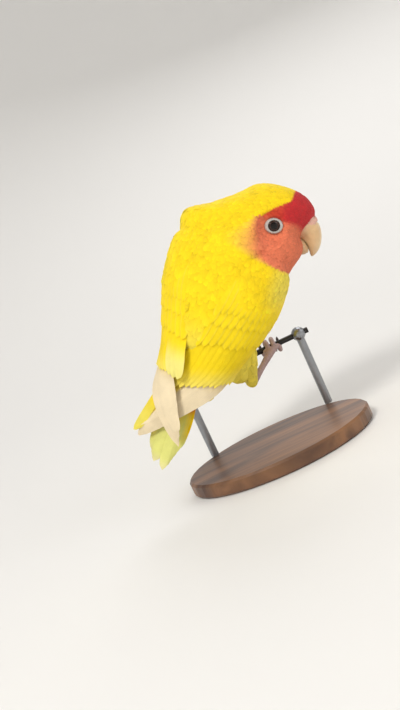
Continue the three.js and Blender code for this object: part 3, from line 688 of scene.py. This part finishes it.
def covert_paint(k, side, x, v):
    return vane_paint(x, v, YELLOW, YELLOW * 1.02, 0.8, mixed(YELLOW, LEMON, 0.5))


def tertial_paint(k, side, x, v):
    return vane_paint(x, v, YELLOW, LEMON, 0.7)


def tail_paint(k, side, x, v):
    """Pale green and yellow, with an orange-red bar across the outer feathers."""
    colour = mixed(LEMON, TAIL_GREEN, smooth(x, 0.3, 0.6))
    colour = mixed(colour, CREAM, 0.5 * smooth(x, 0.86, 1))
    inward = mixed(colour, DEEP_YELLOW, np.clip((k - 2) / 3, 0, 1) * (1 - smooth(x, 0.6, 0.9)))
    bar = np.exp(-((x - 0.24) / 0.09) ** 2) * min(1, max(0, (k - 1.5) / 2.5))
    return mixed(inward, BROW_RED, 0.85 * bar)


WING_COLUMNS, PRIMARIES, TAIL_COLUMNS, TERTIALS = 13, 9, 6, 3
PRIMARY_ROOTS = np.array([[9, 20], [15, 34]])
OUTER_BOW = np.array([-1.5, 3.2])

# Tiers: shares of the tract where a feather starts and ends, rise at both, drop and narrowing per column,
# half widths, pitch and step of the overlap, thickness, where the tip starts, arch, taper and unevenness
ANY_ROW = {
    "start": 0, "end": 1, "drop": [0, 0], "less": 0, "pitch": 2.4, "step": 0.36, "thick": 0.22,
    "tip": 0.7, "arch": 0.12, "taper": 0, "uneven": 0.007,
}
PRIMARY_ROW = dict(
    ANY_ROW, columns=range(PRIMARIES), rise=[1.4, 1.3], drop=[0, 0.2], half=[7.4, 1.8], less=0.3,
    pitch=2, step=0.26, thick=0.2, tip=0.86, arch=0.1, taper=0.5, uneven=0.004, paint=primary_paint,
)
FLIGHT_ROW = dict(
    ANY_ROW, columns=range(WING_COLUMNS), start=0.44, rise=[1.3, 2.2], half=[3.1, 1.6], paint=flight_paint,
)
GREATER_ROW = dict(
    ANY_ROW, columns=np.arange(WING_COLUMNS) - 0.5, start=0.3, end=0.69, rise=[1.3, 2.7], half=[2.7, 1.7],
    step=0.3, thick=0.16, tip=0.62, uneven=0.01, paint=covert_paint,
)
MEDIAN_ROW = dict(
    GREATER_ROW, columns=np.arange(WING_COLUMNS + 1) - 0.25, start=0.22, end=0.555, rise=[1.3, 3.05],
    half=[2.4, 1.8], uneven=0.012,
)
LESSER_ROW = dict(
    GREATER_ROW, columns=np.arange(1.2 * WING_COLUMNS) / 1.2 - 0.1, start=0.15, end=0.47, rise=[1.3, 3.3],
    half=[2, 1.7], uneven=0.014,
)
TERTIAL_ROW = dict(
    PRIMARY_ROW, columns=range(TERTIALS), rise=[1.5, 1.2], drop=[0, 0.1], half=[1.8, 2.6], less=0,
    taper=0.2, paint=tertial_paint,
)
TAIL_ROW = dict(
    ANY_ROW, columns=range(TAIL_COLUMNS), drop=[0.34, 0.42], half=[2.7, 1.9], pitch=1.2, step=0.12,
    tip=0.82, uneven=0.006, paint=tail_paint,
)


def primary_tract(primary_tip, inner_tip):
    """Lines from the wrist to the wing tip."""
    tips = np.array([inner_tip, primary_tip], float)
    middles = (PRIMARY_ROOTS + tips) / 2 + OUTER_BOW * [[0.5], [1]]
    inner, outer = np.stack([PRIMARY_ROOTS, middles, tips], axis=1)
    return tract_between(inner, outer, PRIMARIES)


def make_wing(name, side, primary_tip, inner_tip, inner_end, lift):
    guide = WING_GUIDE.copy()
    guide[:, 5] += lift * smooth(-guide[:, 0], -16, 6)
    vanes(f"{name}_primaries", guide, side, primary_tract(primary_tip, inner_tip), [PRIMARY_ROW], (name,))
    inner, outer = [[57, 12.2], [20, 7.2], inner_end], [[48, 35.4], [22, 40.4], [-7, 25.4]]
    tract = tract_between(inner, outer, WING_COLUMNS)
    vanes(f"{name}_coverts", guide, side, tract, [FLIGHT_ROW, GREATER_ROW, MEDIAN_ROW, LESSER_ROW])
    if side > 0:
        inner, outer = [[4, 0], [-18, -10.2], [-41, -17]], [[5, 3], [-17, -8], [-40, -15.4]]
        vanes(f"{name}_tertials", guide, side, tract_between(inner, outer, TERTIALS), [TERTIAL_ROW])


make_wing("wing_right", 1, [-43, -14.5], [-37, -13.5], [-15.5, -2.4], 0)
make_wing("wing_left", -1, [-40, -7.8], [-34, -4.6], [-10.5, 0.6], 4.4)


TAIL_LINES = {
    1: ([[-15, 1.6], [-34, 2], [-54.5, 2.4]], [[-15, 4.8], [-30, 6.6], [-43, 5.6]]),
    -1: ([[-15, 1.6], [-33, 2], [-51.5, 3]], [[-15, 4.8], [-30, 6.8], [-46, 6.8]]),
}


def make_tail():
    """The right half lies over the left one, and takes the place of the solid."""
    for side, name, high, replaced in ((1, "right", 0, ("tail",)), (-1, "left", -0.5, ())):
        row = dict(TAIL_ROW, rise=[1.2 + high, 2.2 + high])
        tract = tract_between(*TAIL_LINES[side], TAIL_COLUMNS)
        vanes(f"tail_{name}_feathers", TAIL_GUIDE, side, tract, [row], replaced)


make_tail()
roof_points, roof_faces = joined(roofs)
roof_tree = BVHTree.FromPolygons(roof_points.tolist(), roof_faces)

# Small feathers, combed over the skin from the bill to the tail
SPACING = 0.31


def along_thigh(points, name):
    """How much each point belongs to a thigh, how far down it lies, and the thigh's direction."""
    hip, run = HIPS[name], HEELS[name] - HIPS[name]
    f = np.clip((points - hip) @ unit(run) / np.linalg.norm(run), 0, 1)
    gap = np.linalg.norm(points - hip - f[:, None] * run, axis=1)
    return (1 - smooth(gap, 7.5, 11)) * smooth(f, 0.25, 0.5), f, unit(run)


def coat_length(points):
    """Length of the small feathers at each point: shortest at the bill and towards the heels."""
    reach = np.linalg.norm(points - BILL_AT, axis=1)
    length = np.clip(1.15 + 0.082 * reach, 1.3, 8.2)
    for name in HEELS:
        near, down, _ = along_thigh(points, name)
        length = length * (1 - 0.5 * near * smooth(down, 0.35, 1))
    return length


def lie(points):
    """Which way the coat lies at each point, before it is laid on the skin."""
    away = points - BILL_AT
    reach = np.linalg.norm(away, axis=1)
    head = (1 - smooth(reach, 24, 52))[:, None]
    direction = head * unit(away) + (1 - head) * (-ALONG - 0.12 * ACROSS)
    for side in EYES.values():
        off = points - eye_centre(side)
        off = off - (off @ AWAY)[:, None] * AWAY
        radius = np.linalg.norm(off, axis=1)
        same = (points - BODY_AT) @ AWAY * side > HEAD_DEPTH * side
        push = np.where(same, 1.6 * (1 - smooth(radius, 4, 7.5)), 0)
        direction = direction + push[:, None] * unit(off)
    for name in HEELS:
        near, _, axis = along_thigh(points, name)
        direction = direction * (1 - near[:, None]) + axis * near[:, None]
    return unit(direction)


def bare(points):
    """True where no small feather grows: on the bill and on the rings round the eyes."""
    s, t, y = body_place(points)
    gone = (np.abs(y - HEAD_DEPTH) < 5) & (t > 28) & (s > 55.5) & (s < 75.2)
    for side in EYES.values():
        off = points - eye_centre(side)
        reach = np.hypot(off @ RING_LONG / RING_HALF[0], off @ RING_HIGH / RING_HALF[1])
        gone |= (reach < 0.98) & ((y - HEAD_DEPTH) * side > 0)
    return gone


def roofed(point, normal, station):
    """True under the large feathers of a wing or the tail, where nothing would show."""
    return station <= SHOULDER_END and roof_tree.ray_cast(point + normal * 0.05, normal, 9)[0] is not None


def scatter(count):
    """Points spread over the feathered skin, closer where the feathers are shorter."""
    triangles = np.concatenate([skin_quads[:, [0, 1, 2]], skin_quads[:, [0, 2, 3]]])
    a, b, c = (skin_points[triangles[:, i]] for i in range(3))
    area = 0.5 * np.linalg.norm(np.cross(b - a, c - a), axis=1)
    weight = area / coat_length((a + b + c) / 3) ** 2
    picked = rng.choice(len(triangles), count, p=weight / weight.sum())
    u, v = rng.random(count), rng.random(count)
    flip = u + v > 1
    u, v = np.where(flip, 1 - u, u), np.where(flip, 1 - v, v)
    points = a[picked] + (b - a)[picked] * u[:, None] + (c - a)[picked] * v[:, None]
    return points[~bare(points)]


def sow(count):
    """Roots of the small feathers, each clear of the next by a share of the local feather length."""
    points = scatter(count)
    spacing = coat_length(points) * SPACING
    stations = body_place(points)[0]
    tree = KDTree(len(points))
    for i, p in enumerate(points):
        tree.insert(p, i)
    tree.balance()
    free = np.ones(len(points), bool)
    kept = []
    for i, p in enumerate(points):
        if free[i]:
            for _, j, _ in tree.find_range(p, spacing[i]):
                free[j] = False
            normal = skin_tree.find_nearest(p)[1]
            if not roofed(Vector(p), normal, stations[i]):
                kept.append(i)
    return points[kept]


# Stations of a small feather: share of its length, half width, rise off the skin, and brightness, which
# falls towards the root as painted shade under the overlapping feathers and rises a little at the tip
SHARES = np.array([0, 0.3, 0.58, 0.82, 1])
OUTLINE = np.array([0.35, 0.86, 1, 0.8, 0.22])
RISE = np.array([0, 0.55, 0.85, 1, 1.02])
ROOT_SHADE_TONE = np.array([0.86, 0.94, 1, 1.05, 1.1])


def comb(roots, directions, lengths):
    """Carries each feather's line from its root along the skin, as stations and outward normals."""
    spine = np.zeros((len(roots), len(SHARES), 3))
    out = np.zeros_like(spine)
    for n in range(len(roots)):
        p, normal, _, _ = skin_tree.find_nearest(roots[n])
        ahead = Vector(directions[n])
        for k in range(len(SHARES)):
            if k:
                step = lengths[n] * (SHARES[k] - SHARES[k - 1])
                ahead = (ahead - normal * ahead.dot(normal)).normalized()
                before = p
                p, normal, _, _ = skin_tree.find_nearest(p + ahead * step)
                run = p - before
                if run.length > 1e-6:
                    ahead = (ahead * 0.5 + run.normalized() * 0.5).normalized()
            spine[n, k] = p
            out[n, k] = normal
    return spine, out


def make_coat():
    roots = sow(120000)
    many = len(roots)
    lengths = coat_length(roots) * rng.uniform(0.9, 1.12, many)
    spine, out = comb(roots, lie(roots), lengths)
    out[:, 1:-1] = unit(out[:, :-2] + out[:, 1:-1] + out[:, 2:])
    lift = (0.06 + 0.085 * lengths)[:, None] * rng.uniform(0.8, 1.25, (many, 1))
    side = unit(np.cross(unit(np.gradient(spine, axis=1)), out))
    sway = rng.normal(0, 0.045, (many, 1)) * lengths[:, None] * SHARES ** 2
    spine = spine + out * (0.05 + lift * RISE)[..., None] + side * sway[..., None]
    half = (lengths * np.interp(lengths, [1.5, 8], [0.34, 0.36]))[:, None] * OUTLINE
    # Each feather darkens towards its root: painted shade where the feathers overlap.
    colour = plumage(spine) * rng.normal(1, 0.045, (many, 1, 1)) * ROOT_SHADE_TONE[:, None]
    bake = unwrap(roots)
    s, t, _ = body_place(roots)
    on_head, behind = (s > 58) | (t > 24), roots[:, 1] < -4
    groups = {"coat_head": on_head, "coat_back": ~on_head & behind, "coat_front": ~on_head & ~behind}
    for name, pick in groups.items():
        slot = "plumage_head" if name == "coat_head" else "plumage_body"
        feather_piece(name, *(part[pick] for part in (spine, side, out, half, colour, bake)), slot)


make_coat()

# Bill, cere, eyes and the bare rings round them

UPPER_BILL = np.array([
    [73, 31.5, 64.5, 26, 11.8], [72.8, 34.8, 63.2, 29.4, 11.6], [71, 37.3, 62.4, 31.6, 10.8],
    [68, 39.1, 61.5, 33.2, 9.8], [64.6, 40.1, 60.4, 34.5, 8.4], [61.2, 40.3, 59.1, 35.6, 6.2],
    [58.4, 39.5, 57.8, 36.5, 3.8], [56.6, 38.4, 56.7, 37.3, 1.6],
])
LOWER_BILL = np.array([
    [64.4, 25, 55.8, 26.6, 10], [63.6, 29.2, 55.4, 30.2, 9.8], [62.6, 31.8, 55.6, 32.8, 9],
    [61.4, 33.6, 56.3, 34.4, 7.4], [60, 34.9, 57.3, 35.5, 5],
])
CERE = np.array([
    [75.2, 31.4, 65.5, 24, 9.4], [74.9, 33, 66, 27, 10.4], [74, 34.9, 66.5, 30, 10.6],
    [72.8, 36, 66, 32, 9.8],
])


def bill_rings(rows, steps, sides=48, grow=0):
    """Smooth rings between the culmen and the cutting edge."""
    table = np.column_stack([-np.arange(len(rows), dtype=float), rows])
    r = lookup(table, -np.linspace(0, len(rows) - 1, steps))
    culmen, edge, width = r[:, :2], r[:, 2:4], r[:, 4:]
    middle, high = (culmen + edge) / 2, culmen - edge
    reach = np.linalg.norm(high, axis=1, keepdims=True) / 2 + grow
    up = np.cos(around(sides)) * reach
    wide = np.sin(around(sides)) * (width / 2 + grow) * np.where(up < 0, 1.06, 1)
    s, t = (middle[:, i:i + 1] + unit(high)[:, i:i + 1] * up for i in (0, 1))
    return place(s, t, HEAD_DEPTH + wide)


def lofted(name, rings, start, end, colours, material, slot, replaces):
    """A closed piece from rings, its ends drawn in to a point."""
    first = start + (rings[:1] - start) * np.array([0.02, 0.5])[:, None, None]
    last = end + (rings[-1:] - end) * np.array([0.6, 0.02])[:, None, None]
    whole = np.concatenate([first, rings, last])
    quads = grid_quads(*whole.shape[:2], wrap=True)[:, ::-1]
    uv = grid_uv(*whole.shape[:2], 0.01, 0.99)
    mesh_of(name, whole, quads, colours(whole), material, slot, uv, uv, replaces)


FLESH_DEPTH = (0.002, 0.001, 0.0006)


def horn_material(name, roughness):
    flesh = {"subsurface_weight": 0.12, "subsurface_radius": FLESH_DEPTH}
    material, tree = new_material(name, roughness, coat_weight=0.15, coat_roughness=0.3, **flesh)
    growth = math_node(tree, "SINE", math_node(tree, "MULTIPLY", vane_axes(tree)[0], 120))
    height = math_node(tree, "ADD", math_node(tree, "MULTIPLY", growth, 0.35), noise(tree, 700, 5))
    colour = tint(tree, painted(tree), noise(tree, 260, 4), 0.82, 1.12)
    return surface(material, colour, height, 0.18, 0.0002)


def bare_skin_material(name, scale, strength):
    material, tree = new_material(name, 0.5, subsurface_weight=0.15, subsurface_radius=FLESH_DEPTH)
    cells = in_metres(tree, "TexVoronoi", Scale=scale).outputs["Distance"]
    return surface(material, tint(tree, painted(tree), cells, 1.08, 0.8), cells, strength, 0.0002)


horn = horn_material("bill_horn", 0.34)
scaly_skin = bare_skin_material("leg_skin", 1500, 0.5)
soft_skin = bare_skin_material("bare_skin", 2600, 0.35)


def bill_paint(rings):
    s, t, y = body_place(rings)
    tip = smooth(-s, -63, -57)
    base = smooth(-t, -33, -28)
    colour = mixed(HORN_PALE, HORN, smooth(np.abs(y - HEAD_DEPTH), 1.5, 5.5))
    colour = mixed(colour, HORN_TIP, 0.6 * tip)
    return mixed(colour, CERE_PINK, 0.5 * base)


def make_bill():
    upper = bill_rings(UPPER_BILL, 44)
    middle = upper.mean(axis=1, keepdims=True)
    groove = 0.14 * np.exp(-((np.linspace(0, 1, 44) - 0.22) / 0.03) ** 2)
    upper = upper - (upper - middle) * groove[:, None, None] * 0.2
    s, t = (UPPER_BILL[-1, :2] + UPPER_BILL[-1, 2:4]) / 2 - [0.3, 0.1]
    tip = place(s, t, HEAD_DEPTH)
    lofted("bill_upper_horn", upper, middle[0, 0], tip, bill_paint, horn, "bill_horn", ("bill_upper",))
    lower = bill_rings(LOWER_BILL, 26, grow=-0.15)
    start, end = lower[0].mean(axis=0), lower[-1].mean(axis=0)
    lofted("bill_lower_horn", lower, start, end, bill_paint, horn, "bill_horn", ("bill_lower",))


def make_cere():
    cere = bill_rings(CERE, 30, sides=96)
    middle = cere.mean(axis=1, keepdims=True)
    # The nostrils are dented and painted dark: painted shade in the openings.
    dark = np.zeros(cere.shape[:2])
    for side in EYES.values():
        nostril = place(74.1, 33.6, HEAD_DEPTH + side * 3.1)
        gap = np.linalg.norm(cere - nostril, axis=2)
        hole = np.exp(-((gap / 0.62) ** 4))
        rim = np.exp(-(((gap - 1.05) / 0.35) ** 2))
        cere = cere + unit(cere - middle) * (0.22 * rim - 0.8 * hole)[..., None]
        dark = np.maximum(dark, hole)

    def cere_paint(whole):
        colour = np.broadcast_to(CERE_PINK, whole.shape).copy()
        colour[2:-2] = mixed(colour[2:-2], NOSTRIL_SHADE, dark)
        return colour

    lofted("cere_skin", cere, middle[0, 0], middle[-1, 0], cere_paint, soft_skin, "cere_skin", ("cere",))


make_bill()
make_cere()

IRIS = 3
BROWN = np.array([1, 0.42, 0.28])


def eye_material():
    """Black pupil, dark brown iris, wet and glossy."""
    material, tree = new_material("eye_gloss", 0.05, specular_ior_level=0.3)
    position = add_node(tree, "NewGeometry").outputs["Position"]
    split = add_node(tree, "SeparateXYZ", Vector=position)
    squares = []
    for axis in (0, 2):
        off = math_node(tree, "SUBTRACT", split.outputs[axis], float(eye_centre(-1)[axis] * MM))
        squares.append(math_node(tree, "MULTIPLY", off, off))
    radius = math_node(tree, "SQRT", math_node(tree, "ADD", *squares))
    share = math_node(tree, "MULTIPLY", radius, 1 / (IRIS * MM))
    levels = [(0, 0.004), (0.5, 0.004), (0.56, 0.045), (0.85, 0.03), (1, 0.008)]
    ramp = ramp_node(tree, share, [(at, level * BROWN) for at, level in levels])
    return surface(material, ramp)


eye_gloss = eye_material()
EYE_OPENING = (2.5, 2.36)

# Section of the ring: share of the way from the opening outwards, and height
LID_PROFILE = np.array([
    [-0.3, 1.7], [0, 2.6], [0.02, 3.15], [0.06, 3.45], [0.18, 3.6], [0.32, 3.62], [0.44, 3.52],
    [0.55, 3.56], [0.68, 3.5], [0.8, 3.34], [0.9, 3.12], [1, 2.8], [1.04, 2.4], [1.02, 1.6],
])


def make_lids(name, side):
    """The bare ring of folded skin round an eye."""
    turns = around(96)
    wave = 0.03 * np.sin(17 * turns) + 0.02 * np.sin(41 * turns + 1)
    outward, high = LID_PROFILE[:, :1], LID_PROFILE[:, 1:]
    long, short = (half[0] + (half[1] - half[0]) * outward for half in zip(EYE_OPENING, RING_HALF))
    rings = place(
        (long + wave) * np.cos(turns), (short + wave) * np.sin(turns), (high + wave * 1.4) * side,
        eye_centre(side), (RING_LONG, RING_HIGH, AWAY),
    )
    colour = mixed(DARK_GREY, RING_GREY, smooth(outward, 0, 0.3) + 0 * turns)
    quads = grid_quads(*rings.shape[:2], wrap=True)[:, ::side]
    uv = grid_uv(*rings.shape[:2], 0.01, 0.99)
    covered = (f"eye_ring_{name}",)
    mesh_of(f"eye_lids_{name}", rings, quads, colour, soft_skin, "eye_ring_skin", uv, uv, covered)


def make_ball(name, side):
    """The front of the eyeball, a little flatter than a sphere."""
    u, v = np.linspace(0, 1.5, 40)[:, None], around(64)
    radius = EYE_BALL * 0.99
    globe = place(
        radius * np.sin(u) * np.cos(v), radius * np.sin(u) * np.sin(v), radius * 0.88 * side * np.cos(u),
        eye_centre(side),
    )
    quads = grid_quads(*globe.shape[:2], wrap=True)[:, ::-side]
    uv = np.stack(np.broadcast_arrays(u / 1.5, v / (2 * math.pi)), axis=-1).reshape(-1, 2)
    mesh_of(f"eyeball_{name}", globe, quads, 0 * globe, eye_gloss, "eye_dark", uv, uv, (f"eye_{name}",))


for name, side in EYES.items():
    make_lids(name, side)
    make_ball(name, side)

# Legs, toes and claws
FEET = {"right": 33, "left": 4.5}

# Toes: shift along the wire, angles round it where a toe starts and ends, and half its thickness
TOES = [[1.9, 200, -20, 1.25], [-1.9, 200, -35, 1.25], [4.7, 190, 345, 1.1], [-4.7, 190, 355, 1.15]]
TOE_REACH = WIRE_RADIUS + GAP + 1.6


def on_wire(x, degrees, reach):
    a = math.radians(degrees)
    return seat(x, WIRE_DEPTH + reach * math.cos(a), WIRE_HEIGHT + reach * math.sin(a))


def cap(ring, middle, outward, radius):
    """Three rings that round off an end, from the outside in."""
    f = np.array([0.02, 0.5, 0.85])[:, None, None]
    return middle + (ring - middle) * f + unit(outward) * radius * 0.35 * (1 - f)


def scaled_limb(points, radii, scute, sides=20, steps=14):
    """A limb whose rings swell and sink as overlapping scutes, closed at both ends."""
    rings, line = limb_rings(points, radii, sides=sides, steps=steps)
    run = np.concatenate([[0], np.cumsum(np.linalg.norm(np.diff(line, axis=0), axis=1))])
    swell = 1 + 0.09 * ((run / scute) % 1 - 0.5)
    swell = 1 + (swell[:, None] - 1) * (0.6 + 0.4 * np.cos(around(sides)))
    rings = line[:, None] + (rings - line[:, None]) * swell[..., None]
    first = cap(rings[:1], line[0], line[0] - line[1], radii[0])
    last = cap(rings[-1:], line[-1], line[-1] - line[-2], radii[-1])
    return np.concatenate([first, rings, last[::-1]])


def join_lofts(name, lofts, colour, material, slot, replaces):
    """Several closed limbs as one piece."""
    parts, uvs = [], []
    for n, rings in enumerate(lofts):
        parts.append((rings.reshape(-1, 3), grid_quads(*rings.shape[:2], wrap=True)))
        u, v = grid_uv(*rings.shape[:2]).T
        uvs.append(np.stack([(n + 0.05 + 0.9 * u) / len(lofts), 0.02 + 0.96 * v], axis=-1))
    points, quads = joined(parts)
    uv = np.concatenate(uvs)
    paint = np.broadcast_to(colour, points.shape) * rng.normal(1, 0.01, (len(points), 1))
    mesh_of(name, points, np.array(quads), paint, material, slot, uv, uv, replaces)


claw_horn = horn_material("claw_horn", 0.3)


def make_toe(foot, palm, toe):
    """Rings of one toe, which starts at the palm and holds the wire, and of its claw."""
    shift, start, end, size = toe
    line = [palm]
    for share in (0, 0.25, 0.5, 0.75, 1):
        line.append(on_wire(foot + shift * (0.7 + 0.3 * share), start + (end - start) * share, TOE_REACH))
    swing = 1 if end > start else -1
    curve = [
        on_wire(foot + shift, end + swing * beyond, TOE_REACH - 0.1 * k)
        for k, beyond in enumerate([24, 46, 72, 100])
    ]
    rings, middle = limb_rings(curve, [0.82, 0.68, 0.42, 0.1], sides=16, steps=8)
    root = middle[:1, None] + (rings[:1] - middle[:1, None]) * 0.02
    radii = [1.6, size, size * 0.95, size * 0.9, size * 0.85]
    return scaled_limb(line, radii, 0.85, 16, 8), np.concatenate([root, rings])


def make_leg(name):
    heel, foot = HEELS[name], FEET[name]
    palm = seat(foot, WIRE_DEPTH - 4.2, WIRE_HEIGHT - 0.6)
    shank = scaled_limb([*mixed(heel, palm, [0.02, 0.5]), palm], [1.8, 1.5, 2.1], 1.15)
    toes, claws = zip(*(make_toe(foot, palm, toe) for toe in TOES))
    join_lofts(f"foot_{name}", [shank, *toes], LEG_PINK, scaly_skin, "leg_skin", (f"leg_{name}",))
    covered = tuple(f"claw_{name}_{i}" for i in (1, 2, 3, 4))
    join_lofts(f"claws_{name}", claws, DARK_GREY, claw_horn, "claw_horn", covered)


for name in FEET:
    make_leg(name)

# Stand and wire


def dress(node, material):
    """Gives a node of the frame its finish."""
    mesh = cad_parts[node].data
    mesh.materials.clear()
    mesh.materials.append(material)
    mesh.polygons.foreach_set("use_smooth", np.ones(len(mesh.polygons), bool))


def metal_material(name, colour, roughness, metallic):
    material, tree = new_material(name, roughness, metallic=metallic)
    plain = add_node(tree, "RGB").outputs[0]
    plain.default_value = (*colour, 1)
    colour = tint(tree, plain, noise(tree, 350, 6), 0.85, 1.12)
    return surface(material, colour, noise(tree, 2200), 0.08, 0.0001)


def wood_material():
    material, tree = new_material("walnut", 0.42, coat_weight=0.2, coat_roughness=0.25)
    stretch = in_metres(tree, "Mapping", Scale=(14, 150, 60)).outputs["Vector"]
    grain = add_node(tree, "TexNoise", Vector=stretch, Scale=1, Detail=6, Distortion=0.6).outputs["Fac"]
    ramp = ramp_node(tree, grain, [(0.34, WALNUT_DARK), (0.66, WALNUT_PALE)])
    return surface(material, ramp, grain, 0.12, 0.0003)


black_wire = metal_material("black_wire", BLACK, 0.42, 0)
steel = metal_material("brushed_steel", STEEL, 0.34, 1)
walnut = wood_material()
for node, material in {
    "perch_wire": black_wire, "stand_rod_left": steel, "stand_rod_right": steel, "stand_base": walnut,
}.items():
    dress(node, material)

# Stage, light and camera
LIGHTS_AIM = (-0.005, 0, 0.06)
CAMERA_ABOVE, CAMERA_LEAN, CAMERA_DISTANCE = 9, 25, 0.42


def make_stage():
    """A pale floor that curves up all round into a wall."""
    rise = np.linspace(0, math.pi / 2, 24)[1:]
    radius = np.concatenate([[0.001, 0.2, 0.4], 0.4 + 1.2 * np.sin(rise), [1.6, 1.6]])[:, None]
    height = np.concatenate([[0, 0, 0], 1.2 * (1 - np.cos(rise)), [1.8, 2.4]])[:, None] - 0.0002
    turns = around(96)
    rings = np.stack([radius * np.cos(turns), radius * np.sin(turns), height + 0 * turns], axis=-1)
    mesh = bpy.data.meshes.new("floor")
    mesh.from_pydata(rings.reshape(-1, 3), [], grid_quads(*rings.shape[:2], wrap=True), shade_flat=False)
    mesh.materials.append(new_material("pale_floor", 0.9, base_color=(0.8, 0.79, 0.775, 1))[0])
    floor = add_object("floor", mesh)


def add_light(name, at, size, power, colour=(1, 1, 1)):
    lamp = bpy.data.lights.new(name, "AREA")
    lamp.shape = "DISK"
    lamp.size = size
    lamp.energy = power
    lamp.color = colour
    light = add_object(name, lamp)
    light.location = at
    light.rotation_euler = (Vector(LIGHTS_AIM) - Vector(at)).to_track_quat("-Z", "Y").to_euler()


def light_up():
    world = bpy.data.worlds.new("studio")
    world.use_nodes = True
    background = world.node_tree.nodes["Background"]
    background.inputs["Color"].default_value = (1, 0.99, 0.97, 1)
    background.inputs["Strength"].default_value = 0.62
    bpy.context.scene.world = world
    add_light("key", (-0.45, -0.75, 0.95), 0.35, 8, (1, 0.98, 0.94))
    add_light("fill", (0.85, -0.55, 0.45), 0.8, 2.4)
    add_light("rim", (0.3, 0.8, 0.8), 0.6, 3.2)
    bpy.context.scene.view_settings.view_transform = "Standard"


def make_camera():
    """Camera at the photo's place: slightly above, and leaning by the photo's roll."""
    data = bpy.data.cameras.new("camera")
    data.lens = 46.3
    data.clip_start = 0.01
    camera = add_object("camera", data)
    pitch, roll = math.radians(90 - CAMERA_ABOVE), math.radians(-CAMERA_LEAN)
    turn = Matrix.Rotation(pitch, 4, "X") @ Matrix.Rotation(roll, 4, "Z")
    away = Matrix.Translation((0, 0, CAMERA_DISTANCE))
    camera.matrix_world = Matrix.Translation(BODY_AT * MM) @ turn @ away
    bpy.context.scene.camera = camera


make_stage()
light_up()
make_camera()
